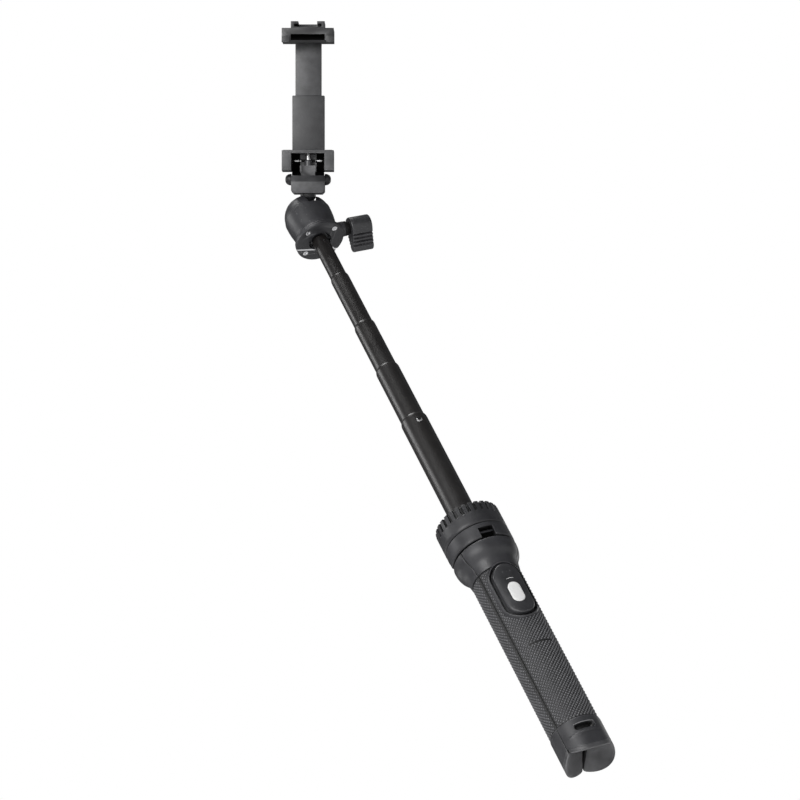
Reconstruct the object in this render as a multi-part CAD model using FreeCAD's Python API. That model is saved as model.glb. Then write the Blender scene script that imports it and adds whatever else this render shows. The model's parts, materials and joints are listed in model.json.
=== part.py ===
# Selfie stick with a tripod handle, a five section pole, a ball head and a sprung phone clamp.
# Millimetres. +Z runs along the pole towards the head, the origin is the centre of the handle's
# foot plane, -Y is the leg that carries the remote and +X is the axis of the ball lock lever.
import FreeCAD, Part
import math
import os

V = FreeCAD.Vector
X_AXIS = V(1, 0, 0)
Y_AXIS = V(0, 1, 0)
Z_AXIS = V(0, 0, 1)

# ---- fits ----
RUN = 0.05                # radial running clearance
GAP = 0.2                 # clearance between faces that pass each other

# ---- handle made of three legs ----
HANDLE_R = 16.05
GRIP_T = 0.9
CAP_R = 16.3
CAP_TOP = 23.5
CORE_R = 9.8
COVER_T = 1.4
SHELL_T = 2.0
SHOULDER_Z = 142.0
SHOULDER_TOP = 160.0
SHOULDER_R = 21.0
SEAM = 0.4
FOOT_SLANT = 32.0         # the feet stand flat when the legs are opened by this angle
FOOT_T = 3.2
FOOT_CORE_R = 1.5
LEG_ANGLES = {"front": -90.0, "right": 30.0, "left": 150.0}
STRAP_SLOT_W = 13.0
STRAP_SLOT_H = 3.8
STRAP_SLOT_Z = 17.3
STRAP_SLOT_D = 3.5

# ---- hub, leg pivots and lock ring ----
HUB_R = 21.15
HUB_Z0 = 161.2
HUB_Z1 = 171.8
NECK_R = 16.0
NECK_Z = 181.0
NECK_TOP_R = 12.0
NECK_TOP_Z = 185.9
PIVOT_R = 18.2
PIVOT_Z = 166.0
PIVOT_PIN_R = 0.9
PIVOT_PIN_L = 14.0
TONGUE_W = 8.4
TONGUE_R = 2.0
WINDOW_W = 9.5
WINDOW_TOP = 168.4
RING_R = 21.2
RING_Z0 = 172.3
RING_Z1 = 188.8
RING_RIM_R = 17.5
KNURL_COUNT = 30
KNURL_W = 1.8
KNURL_H = 7.0
KNURL_D = 1.2
SLEEVE_T = 0.55
SLEEVE_Z0 = 158.0

# ---- pole ----
TUBE_R = [8.9, 8.0, 7.15, 6.35, 5.6]
TUBE_TOP = [277.5, 323.7, 364.4, 410.2, 447.4]
TUBE_L = [158.0, 147.0, 144.0, 141.0, 136.0]
TUBE_T = 0.5
NECK_L = 6.0
BUSH_L = 8.0
EYE_R = 2.2
EYE_DROP = 7.0
EYE_ANGLE = -90.0
EYE_DEPTH = 0.35
EYE_PROUD = 0.15
PAN_SHANK_R = 2.0
PAN_HEAD_R = 3.4

# ---- remote in its dock on the front leg ----
REMOTE_Z = 121.5
REMOTE_L = 38.0
REMOTE_W = 17.5
REMOTE_R = 18.0           # radius of the crowned front face
REMOTE_BACK = 11.5
REMOTE_SPLIT = 13.1
REMOTE_WALL = 1.2
DOCK_RIM = 2.4
DOCK_R = 16.9
DOCK_FLOOR = 11.3
BUTTON_Z = 118.0
BUTTON_L = 15.0
BUTTON_W = 8.0
BUTTON_R = 18.35
BUTTON_TRAVEL = 0.6
CELL_R = 6.25
CELL_T = 1.6
CELL_Z = 132.0
BOARD_X0 = 13.2
BOARD_X1 = 13.9
PLUNGER_R = 1.6
LAMP_R = 0.5
LAMP_Z = 134.0
LAMP_Y = (-2.4, 0.0, 2.4)

# ---- ball head ----
DISC_Z = 445.9
DISC_R = 17.0
DISC_T = 2.0
DISC_BORE = 8.0
BALL_Z = 469.0
BALL_R = 12.9
BALL_PLAY = 0.06
CUP_R = 16.4
DOME_R = 16.0
CUP_TOP = 469.6
FLOOR_Z1 = 450.0          # top of the cup's floor, above the pan screw's hole
SEAT_Z0 = 457.5
PAD_Z0 = 455.8
MOUTH_ANGLE = 50.0
NOTCH_W = 11.2
NOTCH_Z = 469.0
SLOT_OFFSET = 7.9         # bright strip across the base, measured from the axis
SLOT_TURN = 10.8
SLOT_W = 1.7
SCREW_PCR = 13.4
SCREW_R = 1.0
SCREW_HEAD_R = 1.85
SCREW_SINK = 1.0
SHAFT_Z = 453.2
BOSS_R = 5.2
BOSS_X = 20.0
LEVER_X0 = 23.8
LEVER_X1 = 38.6
LEVER_HUB_R = 7.0
LEVER_REACH = 17.0
LEVER_TIP_R = 3.2
LEVER_SHANK_R = 2.4
LEVER_ANGLE = 45.0        # turned from straight down towards +Y

# ---- pose of the clamp on the ball ----
BALL_TILT = 44.4
TILT_AZIMUTH = -74.0
CLAMP_SWIVEL = -16.1

# ---- clamp, heights measured along the stem from the ball's centre ----
BLOCK_W = 22.7
BLOCK_Z0 = 16.5
BLOCK_Z1 = 28.6
BLOCK_D = 17.0
BLOCK_CHAMFER = 1.7
CHEEK_R = 5.3             # rounded knuckles around the folding axis
CHEEK_X0 = 5.6
CHEEK_X1 = 10.9
RIB_Z0 = 31.4             # the web's side ribs stay clear of the block when the clamp folds
STEM_R = 2.3
COLLAR_R = 5.3
COLLAR_Z0 = 14.2
STUD_PIN_R = 3.0
STUD_TOP = 21.0
FOLD_Z = 26.2
FOLD_R = 1.6
DOME_HEAD_R = 3.95
DOME_HEAD_H = 4.2
WEB_W = 9.7
WEB_D = 5.2
WEB_TOP = 35.6
JAW_W = 35.2
JAW_Z0 = 31.7
JAW_Z1 = 45.7
JAW_FRONT = -10.0
JAW_BACK = 5.0
JAW_POST = 6.3
GRIP_GAP = 74.0
PAD_T = 0.8
ROD_R = 1.65
CROSS_PIN_R = 0.8
CROSS_PIN_Z = 39.2
SPINE_W = 22.0
SPINE_Y1 = 13.0
SPINE_TOP = 84.0
SLIDER_Z0 = 62.0
UPPER_H = 8.5
UPPER_POST = 6.0
UPPER_BAR = 4.5
SHOE_W = 23.0
SHOE_LIP_GAP = 12.7
SHOE_CHANNEL = 18.7
SHOE_H = 4.7
SHOE_LIP_T = 1.7
SPRING_X = 4.5
SPRING_R = 1.35
SPRING_WIRE = 0.3
SPRING_PITCH = 1.6


# ---- small helpers ----
def cyl(radius, z0, z1, x=0.0, y=0.0):
    return Part.makeCylinder(radius, z1 - z0, V(x, y, z0))


def ring(outer, inner, z0, z1):
    return cyl(outer, z0, z1).cut(cyl(inner, z0 - 1, z1 + 1))


def box(x0, x1, y0, y1, z0, z1):
    return Part.makeBox(x1 - x0, y1 - y0, z1 - z0, V(x0, y0, z0))


def rod(radius, start, end):
    return Part.makeCylinder(radius, (end - start).Length, start, end - start)


def lathe(points):
    """Solid of revolution about Z from a closed list of (radius, height) points."""
    wire = Part.makePolygon([V(r, 0, z) for r, z in points + points[:1]])
    return Part.Face(wire).revolve(V(0, 0, 0), Z_AXIS, 360)


def prism(points, z0, z1):
    """Upright prism over a closed list of (x, y) points."""
    wire = Part.makePolygon([V(x, y, z0) for x, y in points + points[:1]])
    return Part.Face(wire).extrude(V(0, 0, z1 - z0))


def turned(shape, degrees):
    copy = shape.copy()
    copy.rotate(V(0, 0, 0), Z_AXIS, degrees)
    return copy


def joined(shapes):
    result = shapes[0]
    for shape in shapes[1:]:
        result = result.fuse(shape)
    return result.removeSplitter()


def cut_all(shape, tools):
    for tool in tools:
        shape = shape.cut(tool)
    return shape


def save(name, shape):
    solids = shape.Solids
    whole = solids[0] if len(solids) == 1 else Part.makeCompound(solids)
    whole.exportStep("parts/" + name + ".step")


# ---- legs: every leg is drawn pointing along +X, then turned to its place ----
def sector(gap):
    """A 120 degree wedge about +X whose side faces stand back by half the gap."""
    tip = gap / 2 / math.sin(math.radians(60))
    far = 40.0
    rise = far * math.sin(math.radians(60))
    run = tip + far * math.cos(math.radians(60))
    return prism([(tip, 0), (run, rise), (2 * far, rise), (2 * far, -rise), (run, -rise)], -10, 200)


def below_slant(height):
    """Everything under the slanted foot plane raised by a height."""
    slope = math.tan(math.radians(FOOT_SLANT))
    inner = height + (CAP_R + 5) * slope
    outer = height + (CAP_R - 45) * slope
    points = [(-5, inner), (45, outer), (45, outer - 60), (-5, outer - 60)]
    wire = Part.makePolygon([V(x, -50, z) for x, z in points + points[:1]])
    return Part.Face(wire).extrude(V(0, 100, 0))


def shoulder():
    """The bell that widens from the grip to the hub, with the leg's hollow core."""
    curve = Part.BSplineCurve()
    curve.interpolate([V(HANDLE_R, 0, SHOULDER_Z), V(HANDLE_R + 0.6, 0, SHOULDER_Z + 4),
                       V(SHOULDER_R - 2.3, 0, SHOULDER_Z + 8.5),
                       V(SHOULDER_R - 0.3, 0, SHOULDER_Z + 13),
                       V(SHOULDER_R, 0, SHOULDER_TOP - 0.8)])
    side = curve.toShape()
    corners = [V(SHOULDER_R, 0, SHOULDER_TOP - 0.8), V(SHOULDER_R - 0.8, 0, SHOULDER_TOP),
               V(CORE_R + COVER_T, 0, SHOULDER_TOP), V(CORE_R + COVER_T, 0, SHOULDER_Z),
               V(HANDLE_R, 0, SHOULDER_Z)]
    wire = Part.Wire([side] + Part.makePolygon(corners).Edges)
    return Part.Face(wire).revolve(V(0, 0, 0), Z_AXIS, 360)


def tongue():
    """Hinge knuckle that stands up from the shoulder into the hub's window."""
    half = TONGUE_W / 2
    knuckle = rod(TONGUE_R, V(PIVOT_R, -half, PIVOT_Z), V(PIVOT_R, half, PIVOT_Z))
    arm = box(PIVOT_R - TONGUE_R, PIVOT_R + TONGUE_R, -half, half, SHOULDER_TOP - 4, PIVOT_Z)
    bore = rod(PIVOT_PIN_R + RUN, V(PIVOT_R, -half - 1, PIVOT_Z), V(PIVOT_R, half + 1, PIVOT_Z))
    return knuckle.fuse(arm).cut(bore)


def leg_shell():
    inner = CORE_R + COVER_T
    under_grip = HANDLE_R - GRIP_T
    body = joined([ring(CAP_R, inner, 0, CAP_TOP), ring(under_grip, inner, CAP_TOP, SHOULDER_Z),
                   shoulder()])
    body = body.common(sector(SEAM)).cut(below_slant(FOOT_T))
    pocket = ring(under_grip - SHELL_T, inner - 1, CAP_TOP + 4, SHOULDER_Z - 4)
    body = body.cut(pocket.common(sector(SEAM + 2 * SHELL_T)))
    return joined([body, tongue()])


def leg_cover():
    strip = ring(CORE_R + COVER_T, CORE_R, CAP_TOP, SHOULDER_TOP - 4)
    return strip.common(sector(SEAM))


def leg_grip():
    sleeve = ring(HANDLE_R, HANDLE_R - GRIP_T, CAP_TOP, SHOULDER_Z)
    return sleeve.common(sector(SEAM))


def leg_foot():
    pad = ring(CAP_R, FOOT_CORE_R, -1, CAP_TOP).common(sector(SEAM))
    return pad.common(below_slant(FOOT_T)).cut(below_slant(0))


def stadium(width, length, centre, x0, x1):
    """Rounded slab standing on +X, long in Z, between two distances from the axis."""
    half = width / 2
    straight = length / 2 - half
    slab = box(x0, x1, -half, half, centre - straight, centre + straight)
    ends = [rod(half, V(x0, 0, centre + side), V(x1, 0, centre + side))
            for side in (-straight, straight)]
    return joined([slab] + ends)


def strap_slot():
    slot = stadium(STRAP_SLOT_H, STRAP_SLOT_W, 0, CAP_R - STRAP_SLOT_D, CAP_R + 2)
    slot.rotate(V(0, 0, 0), X_AXIS, 90)
    slot.translate(V(0, 0, STRAP_SLOT_Z))
    return slot


def dock_outline(margin, x0, x1):
    return stadium(REMOTE_W + 2 * margin, REMOTE_L + 2 * margin, REMOTE_Z, x0, x1)


def front_shell():
    rim = dock_outline(DOCK_RIM, DOCK_FLOOR, DOCK_R + 1).common(cyl(DOCK_R, 0, PIVOT_Z))
    shell = joined([leg_shell(), rim])
    pocket = dock_outline(GAP, DOCK_FLOOR, HANDLE_R + 10)
    return cut_all(shell, [pocket, strap_slot()])


def front_grip():
    return leg_grip().cut(dock_outline(DOCK_RIM, DOCK_FLOOR, DOCK_R + 1))


def build_legs():
    for name, angle in LEG_ANGLES.items():
        front = name == "front"
        save("leg_" + name + "_shell", turned(front_shell() if front else leg_shell(), angle))
        save("leg_" + name + "_grip", turned(front_grip() if front else leg_grip(), angle))
        save("leg_" + name + "_cover", turned(leg_cover(), angle))
        save("leg_" + name + "_foot", turned(leg_foot(), angle))


# ---- remote, drawn pointing along +X like its leg ----
def remote_case():
    body = dock_outline(0, REMOTE_SPLIT, REMOTE_R + 1).common(cyl(REMOTE_R, 0, PIVOT_Z))
    room = dock_outline(-REMOTE_WALL, REMOTE_SPLIT - 1, REMOTE_R)
    room = room.common(cyl(REMOTE_R - REMOTE_WALL, 0, PIVOT_Z))
    opening = stadium(BUTTON_W + 2 * GAP, BUTTON_L + 2 * GAP, BUTTON_Z, REMOTE_SPLIT, REMOTE_R + 5)
    lamps = [rod(LAMP_R, V(REMOTE_SPLIT, y, LAMP_Z), V(REMOTE_R + 1, y, LAMP_Z)) for y in LAMP_Y]
    return cut_all(body, [room, opening] + lamps)


def remote_lamps():
    pins = [rod(LAMP_R, V(BOARD_X1 + CELL_T + 0.3, y, LAMP_Z), V(REMOTE_R + 1, y, LAMP_Z))
            for y in LAMP_Y]
    skin = cyl(REMOTE_R, 0, PIVOT_Z)
    return Part.makeCompound([pin.common(skin) for pin in pins])


def shutter_button():
    cap = stadium(BUTTON_W, BUTTON_L, BUTTON_Z, REMOTE_R - REMOTE_WALL, REMOTE_R + 2)
    cap = cap.common(cyl(BUTTON_R, 0, PIVOT_Z))
    plunger = rod(PLUNGER_R, V(BOARD_X1 + BUTTON_TRAVEL + 0.1, 0, BUTTON_Z),
                  V(REMOTE_R - REMOTE_WALL + 0.2, 0, BUTTON_Z))
    return joined([cap, plunger])


def build_remote():
    angle = LEG_ANGLES["front"]
    back = dock_outline(0, REMOTE_BACK, REMOTE_SPLIT - 0.1)
    board = dock_outline(-REMOTE_WALL - GAP, BOARD_X0, BOARD_X1)
    board = board.common(cyl(REMOTE_R - REMOTE_WALL - GAP, 0, PIVOT_Z))
    cell = rod(CELL_R, V(BOARD_X1 + 0.05, 0, CELL_Z), V(BOARD_X1 + 0.05 + CELL_T, 0, CELL_Z))
    save("remote_case", turned(remote_case(), angle))
    save("remote_back", turned(back, angle))
    save("remote_board", turned(board, angle))
    save("remote_cell", turned(cell, angle))
    save("remote_lamps", turned(remote_lamps(), angle))
    save("shutter_button", turned(shutter_button(), angle))


# ---- hub and lock ring ----
def hub_body():
    sleeve_r = TUBE_R[0] + RUN + SLEEVE_T
    body = joined([cyl(HUB_R, HUB_Z0, HUB_Z1), cyl(NECK_R, HUB_Z1, NECK_Z),
                   cyl(NECK_TOP_R, NECK_Z, NECK_TOP_Z)])
    body = body.cut(cyl(sleeve_r, HUB_Z0 - 1, NECK_TOP_Z + 1))
    half = WINDOW_W / 2
    for angle in LEG_ANGLES.values():
        window = box(PIVOT_R - TONGUE_R - 0.7, HUB_R + 2, -half, half, HUB_Z0 - 1, WINDOW_TOP)
        bore = rod(PIVOT_PIN_R, V(PIVOT_R, -PIVOT_PIN_L / 2, PIVOT_Z),
                   V(PIVOT_R, PIVOT_PIN_L / 2, PIVOT_Z))
        body = cut_all(body, [turned(window, angle), turned(bore, angle)])
    return body


def lock_ring():
    body = lathe([(NECK_R + RUN, RING_Z0), (RING_R, RING_Z0), (RING_R, RING_Z1 - 0.6),
                  (RING_R - 0.6, RING_Z1), (RING_RIM_R, RING_Z1), (RING_RIM_R, NECK_TOP_Z - 0.2),
                  (NECK_TOP_R + RUN, NECK_TOP_Z - 0.2), (NECK_TOP_R + RUN, NECK_Z + GAP),
                  (NECK_R + RUN, NECK_Z + GAP)])
    slot = box(RING_R - KNURL_D, RING_R + 2, -KNURL_W / 2, KNURL_W / 2, RING_Z1 - KNURL_H, RING_Z1 + 1)
    slots = [turned(slot, 360.0 * i / KNURL_COUNT) for i in range(KNURL_COUNT)]
    return body.cut(Part.makeCompound(slots))


def build_hub():
    sleeve_in = TUBE_R[0] + RUN
    sleeve_out = sleeve_in + SLEEVE_T
    pin = rod(PIVOT_PIN_R, V(PIVOT_R, -PIVOT_PIN_L / 2, PIVOT_Z), V(PIVOT_R, PIVOT_PIN_L / 2, PIVOT_Z))
    save("hub_body", hub_body())
    save("hub_sleeve", ring(sleeve_out, sleeve_in, SLEEVE_Z0, RING_Z1 - 0.6))
    save("leg_pins", Part.makeCompound([turned(pin, angle) for angle in LEG_ANGLES.values()]))
    save("ring_clip", ring(RING_RIM_R - 2, sleeve_out, NECK_TOP_Z, NECK_TOP_Z + 1.2))
    save("lock_ring", lock_ring())


# ---- pole ----
def tube(index):
    """Thin tube whose top is rolled in to guide the next section."""
    radius = TUBE_R[index]
    top = TUBE_TOP[index]
    bottom = top - TUBE_L[index]
    bore = radius - TUBE_T
    last = index == len(TUBE_R) - 1
    neck = bore if last else TUBE_R[index + 1] + RUN
    roll = 0.6
    flare = TUBE_R[0] + 0.4 if index == 0 else radius
    return lathe([(bore, bottom), (flare, bottom), (flare, bottom + 3), (radius, bottom + 3 + roll),
                  (radius, top - 1.5), (radius - 0.25, top - 0.3), (radius - 0.45, top), (neck, top),
                  (neck, top - NECK_L), (bore, top - NECK_L - 0.5)])


def bush(index):
    """Collar round a section's foot that slides in the bore of the section below."""
    bottom = TUBE_TOP[index] - TUBE_L[index] + 0.5
    bore = TUBE_R[index - 1] - TUBE_T
    return ring(bore - RUN, TUBE_R[index], bottom, bottom + BUSH_L)


def eye_at(radius):
    angle = math.radians(EYE_ANGLE)
    return V(radius * math.cos(angle), radius * math.sin(angle), TUBE_TOP[0] - EYE_DROP)


def build_pole():
    eye_hole = rod(EYE_R, eye_at(TUBE_R[0] - EYE_DEPTH), eye_at(TUBE_R[0] + 3))
    skin = cyl(TUBE_R[0] + EYE_PROUD, 0, TUBE_TOP[0])
    eye = rod(EYE_R - RUN, eye_at(TUBE_R[0] - EYE_DEPTH), eye_at(TUBE_R[0] + 1)).common(skin)
    for index in range(len(TUBE_R)):
        shape = tube(index)
        if index == 0:
            shape = shape.cut(eye_hole)
        save("tube_%d" % (index + 1), shape)
        if index > 0:
            save("bush_%d" % (index + 1), bush(index))
    save("tube_screw", eye)
    top = TUBE_TOP[-1]
    plug = cyl(TUBE_R[-1] - TUBE_T, top - 14, top)
    save("tip_plug", plug.cut(cyl(PAN_SHANK_R, top - 12, top + 1)))
    save("pan_screw", joined([cyl(PAN_SHANK_R, top - 12, FLOOR_Z1 + GAP),
                              cyl(PAN_HEAD_R, FLOOR_Z1 + GAP, FLOOR_Z1 + GAP + 1.2)]))


# ---- ball head ----
def head_profile():
    disc_top = DISC_Z + DISC_T
    waist = CUP_R - 1.5
    return [(DISC_R, disc_top), (DISC_R, disc_top + 1.0), (DISC_R - 1.2, disc_top + 2.0),
            (waist, disc_top + 3.0), (waist, disc_top + 5.5), (waist + 0.6, disc_top + 9.5),
            (waist + 1.15, CUP_TOP - 8), (CUP_R - 0.1, CUP_TOP - 4), (CUP_R, CUP_TOP)]


def notch():
    """Opening that lets the stem drop towards the tilt side."""
    half = NOTCH_W / 2
    slot = box(0, CUP_R + 5, -half, half, NOTCH_Z, BALL_Z + CUP_R)
    return turned(slot, TILT_AZIMUTH)


def head_housing():
    bore = BALL_R + 0.1
    disc_top = DISC_Z + DISC_T
    points = head_profile() + [(bore, CUP_TOP), (bore, FLOOR_Z1), (PAN_SHANK_R + RUN, FLOOR_Z1),
                               (PAN_SHANK_R + RUN, disc_top)]
    boss = rod(BOSS_R, V(bore + 1, 0, SHAFT_Z), V(BOSS_X, 0, SHAFT_Z))
    body = joined([lathe(points), boss])
    shaft_bore = rod(LEVER_SHANK_R + RUN, V(bore - 3, 0, SHAFT_Z), V(BOSS_X + 1, 0, SHAFT_Z))
    holes = [cyl(SCREW_R, disc_top - 1, disc_top + 4, x, y) for x, y in screw_places()]
    return cut_all(body, [shaft_bore, notch(), pocket_ring()] + holes)


def pocket_ring():
    """Dark pockets between radial ribs round the pole tip, in the underside of the floor."""
    disc_top = DISC_Z + DISC_T
    well = ring(DISC_BORE, TUBE_R[-1] + 0.6, disc_top - 1, disc_top + 1.6)
    ribs = [turned(box(0, DISC_BORE + 1, -0.5, 0.5, disc_top - 2, disc_top + 3), 60 * i)
            for i in range(6)]
    return well.cut(Part.makeCompound(ribs))


def ball_cap():
    """Dome over the ball, open at the mouth and along the notch."""
    ball = V(0, 0, BALL_Z)
    dome = Part.makeSphere(DOME_R, ball).cut(Part.makeSphere(BALL_R + BALL_PLAY, ball))
    dome = dome.common(cyl(DOME_R + 1, CUP_TOP, BALL_Z + DOME_R))
    spread = math.tan(math.radians(MOUTH_ANGLE)) * 20
    mouth = Part.makeCone(0, spread, 20, ball)
    return cut_all(dome, [mouth, notch()])


def screw_places():
    places = []
    for angle in (45, 135, 225, 315):
        turn = math.radians(angle)
        places.append((SCREW_PCR * math.cos(turn), SCREW_PCR * math.sin(turn)))
    return places


def base_disc(side):
    """One part of the split base disc: side +1 is the small crescent, -1 the large plate."""
    plate = ring(DISC_R, DISC_BORE, DISC_Z, DISC_Z + DISC_T)
    edge = SLOT_OFFSET + side * SLOT_W / 2
    keep = box(-30, 30, min(edge, side * 30), max(edge, side * 30), 0, 500)
    plate = plate.common(turned(keep, SLOT_TURN))
    holes = [cyl(SCREW_R, DISC_Z - 1, DISC_Z + DISC_T + 1, x, y) for x, y in screw_places()]
    sinks = [cyl(SCREW_HEAD_R + RUN, DISC_Z - 1, DISC_Z + SCREW_SINK, x, y)
             for x, y in screw_places()]
    return cut_all(plate, holes + sinks)


def slot_plate():
    """Bright strip in the base slot, set back from the disc's face and broken by a screw."""
    strip = box(-DISC_R, DISC_R, SLOT_OFFSET - SLOT_W / 2, SLOT_OFFSET + SLOT_W / 2,
                DISC_Z + 0.3, DISC_Z + DISC_T)
    strip = turned(strip, SLOT_TURN).common(ring(DISC_R - 0.2, DISC_BORE, 0, 500))
    clear = [cyl(SCREW_HEAD_R + GAP, DISC_Z - 1, DISC_Z + DISC_T + 1, x, y) for x, y in screw_places()]
    return Part.makeCompound(cut_all(strip, clear).Solids)


def base_screws():
    screws = []
    for x, y in screw_places():
        head = cyl(SCREW_HEAD_R, DISC_Z + 0.1, DISC_Z + SCREW_SINK, x, y)
        shank = cyl(SCREW_R, DISC_Z + SCREW_SINK, DISC_Z + DISC_T + 4, x, y)
        cross = [box(x - 1.2, x + 1.2, y - 0.25, y + 0.25, DISC_Z, DISC_Z + 0.6),
                 box(x - 0.25, x + 0.25, y - 1.2, y + 1.2, DISC_Z, DISC_Z + 0.6)]
        screws.append(cut_all(head.fuse(shank), cross))
    return Part.makeCompound(screws)


def ball_seat():
    seat = ring(BALL_R, 4.0, SEAT_Z0, BALL_Z - 4)
    return seat.cut(Part.makeSphere(BALL_R + BALL_PLAY, V(0, 0, BALL_Z)))


def pressure_pad():
    """Dished plate that the lever's shaft lifts against the seat and the ball."""
    return cyl(BALL_R, PAD_Z0, SEAT_Z0 - 0.1).cut(Part.makeSphere(BALL_R + BALL_PLAY, V(0, 0, BALL_Z)))


def lever_outline():
    """Teardrop grip about the shaft, pointing along -Z."""
    tip_r = LEVER_TIP_R
    tip_z = -(LEVER_REACH - tip_r)
    length = LEVER_X1 - LEVER_X0
    hub = rod(LEVER_HUB_R, V(LEVER_X0, 0, 0), V(LEVER_X1, 0, 0))
    tip = rod(tip_r, V(LEVER_X0, 0, tip_z), V(LEVER_X1, 0, tip_z))
    lean = math.asin((LEVER_HUB_R - tip_r) / -tip_z)
    points = [V(LEVER_X0, s * r * math.cos(lean), z - r * math.sin(lean) * k)
              for s, r, z, k in ((-1, LEVER_HUB_R, 0, 1), (1, LEVER_HUB_R, 0, 1),
                                 (1, tip_r, tip_z, 1), (-1, tip_r, tip_z, 1))]
    web = Part.Face(Part.makePolygon(points + points[:1])).extrude(V(length, 0, 0))
    return joined([hub, tip, web])


def lever_ridges():
    """Grooves parallel to the shaft on both flanks of the grip."""
    grooves = []
    for step in range(5):
        z = -6.5 - 2.3 * step
        for side in (-1, 1):
            y = side * (LEVER_HUB_R + 0.55 - 0.27 * (-z - 0.5))
            grooves.append(rod(0.7, V(LEVER_X0 - 1, y, z), V(LEVER_X1 + 1, y, z)))
    return grooves


def place_lever(shape):
    copy = shape.copy()
    copy.rotate(V(0, 0, 0), X_AXIS, LEVER_ANGLE)
    copy.translate(V(0, 0, SHAFT_Z))
    return copy


def build_head():
    save("head_housing", head_housing())
    save("ball_cap", ball_cap())
    save("ball_seat", ball_seat())
    save("pressure_pad", pressure_pad())
    save("base_plate_large", base_disc(-1))
    save("base_plate_small", base_disc(1))
    save("slot_plate", slot_plate())
    save("base_screws", base_screws())
    lever = cut_all(lever_outline(), lever_ridges())
    lever = lever.cut(rod(LEVER_SHANK_R, V(LEVER_X0 - 1, 0, 0), V(LEVER_X1 - 3, 0, 0)))
    save("lock_lever", place_lever(lever))
    save("lever_screw", rod(LEVER_SHANK_R, V(4.6, 0, SHAFT_Z), V(LEVER_X1 - 3, 0, SHAFT_Z)))
    collar = [rod(BOSS_R - 0.1, V(BOSS_X + 0.15, 0, 0), V(BOSS_X + 1.6, 0, 0)),
              rod(BOSS_R - 0.8, V(BOSS_X + 1.6, 0, 0), V(LEVER_X0 - 0.05, 0, 0))]
    collar = joined(collar).cut(rod(LEVER_SHANK_R, V(0, 0, 0), V(LEVER_X1, 0, 0)))
    save("lever_collar", place_lever(collar))


# ---- clamp: drawn upright about the ball's centre, back towards +Y, then tilted with the ball ----
def clamp_placement():
    turn = math.radians(TILT_AZIMUTH + 90)
    tilt = FreeCAD.Rotation(V(math.cos(turn), math.sin(turn), 0), BALL_TILT)
    swivel = FreeCAD.Rotation(Z_AXIS, CLAMP_SWIVEL)
    return FreeCAD.Placement(V(0, 0, BALL_Z), tilt.multiply(swivel))


def save_on_ball(name, shape):
    copy = shape.copy()
    copy.Placement = clamp_placement().multiply(copy.Placement)
    save(name, copy)


def ball_stud():
    top = BLOCK_Z0 - 0.1
    collar = lathe([(0, BALL_R - 0.5), (STEM_R, BALL_R - 0.5), (STEM_R + 0.4, BALL_R),
                    (COLLAR_R, COLLAR_Z0), (COLLAR_R, top), (0, top)])
    return joined([Part.makeSphere(BALL_R), collar, cyl(STUD_PIN_R, top - 1, STUD_TOP)])


def clamp_block():
    """Swivelling block with a pocket, open to the back, for the clamp's web."""
    half_w = BLOCK_W / 2
    half_d = BLOCK_D / 2
    low = FOLD_Z - 2.0
    side = [V(0, -half_d, BLOCK_Z0), V(0, half_d, BLOCK_Z0), V(0, half_d, low),
            V(0, 4.5, BLOCK_Z1), V(0, -5.4, BLOCK_Z1), V(0, -half_d, low)]
    body = Part.Face(Part.makePolygon(side + side[:1])).extrude(V(BLOCK_W, 0, 0))
    body.translate(V(-half_w, 0, 0))
    cut = BLOCK_CHAMFER
    front = [(-half_w, BLOCK_Z0 + cut), (-half_w + cut, BLOCK_Z0), (half_w - cut, BLOCK_Z0),
             (half_w, BLOCK_Z0 + cut), (half_w, BLOCK_Z1), (-half_w, BLOCK_Z1)]
    face = Part.Face(Part.makePolygon([V(x, -20, z) for x, z in front + front[:1]]))
    body = body.common(face.extrude(V(0, 40, 0)))
    cheeks = [rod(CHEEK_R, V(side * CHEEK_X0, 0, FOLD_Z), V(side * CHEEK_X1, 0, FOLD_Z))
              for side in (-1, 1)]
    body = joined([body] + cheeks)
    half_web = WEB_W / 2 + 0.1
    pocket = box(-half_web, half_web, -4.0, half_d + 1, FOLD_Z - 3.2, BLOCK_Z1 + 1)
    stud_bore = cyl(STUD_PIN_R + RUN, BLOCK_Z0 - 1, STUD_TOP + 0.3)
    fold_bore = rod(FOLD_R, V(-half_w - 1, 0, FOLD_Z), V(half_w + 1, 0, FOLD_Z))
    return cut_all(body, [pocket, stud_bore, fold_bore])


def dome_head(side):
    """Domed head outside the block; side is +1 or -1 along X."""
    reach = DOME_HEAD_H
    ball_r = (DOME_HEAD_R ** 2 + reach ** 2) / (2 * reach)
    start = side * (BLOCK_W / 2)
    centre = V(start + side * (reach - ball_r), 0, FOLD_Z)
    shell = Part.makeSphere(ball_r, centre)
    keep = rod(DOME_HEAD_R, V(start, 0, FOLD_Z), V(start + side * reach, 0, FOLD_Z))
    return shell.common(keep)


def pivot_bolt():
    return joined([dome_head(-1), rod(FOLD_R, V(-BLOCK_W / 2 - 0.5, 0, FOLD_Z), V(13.0, 0, FOLD_Z))])


def pivot_nut():
    return dome_head(1).cut(rod(FOLD_R, V(0, 0, FOLD_Z), V(13.0, 0, FOLD_Z)))


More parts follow.
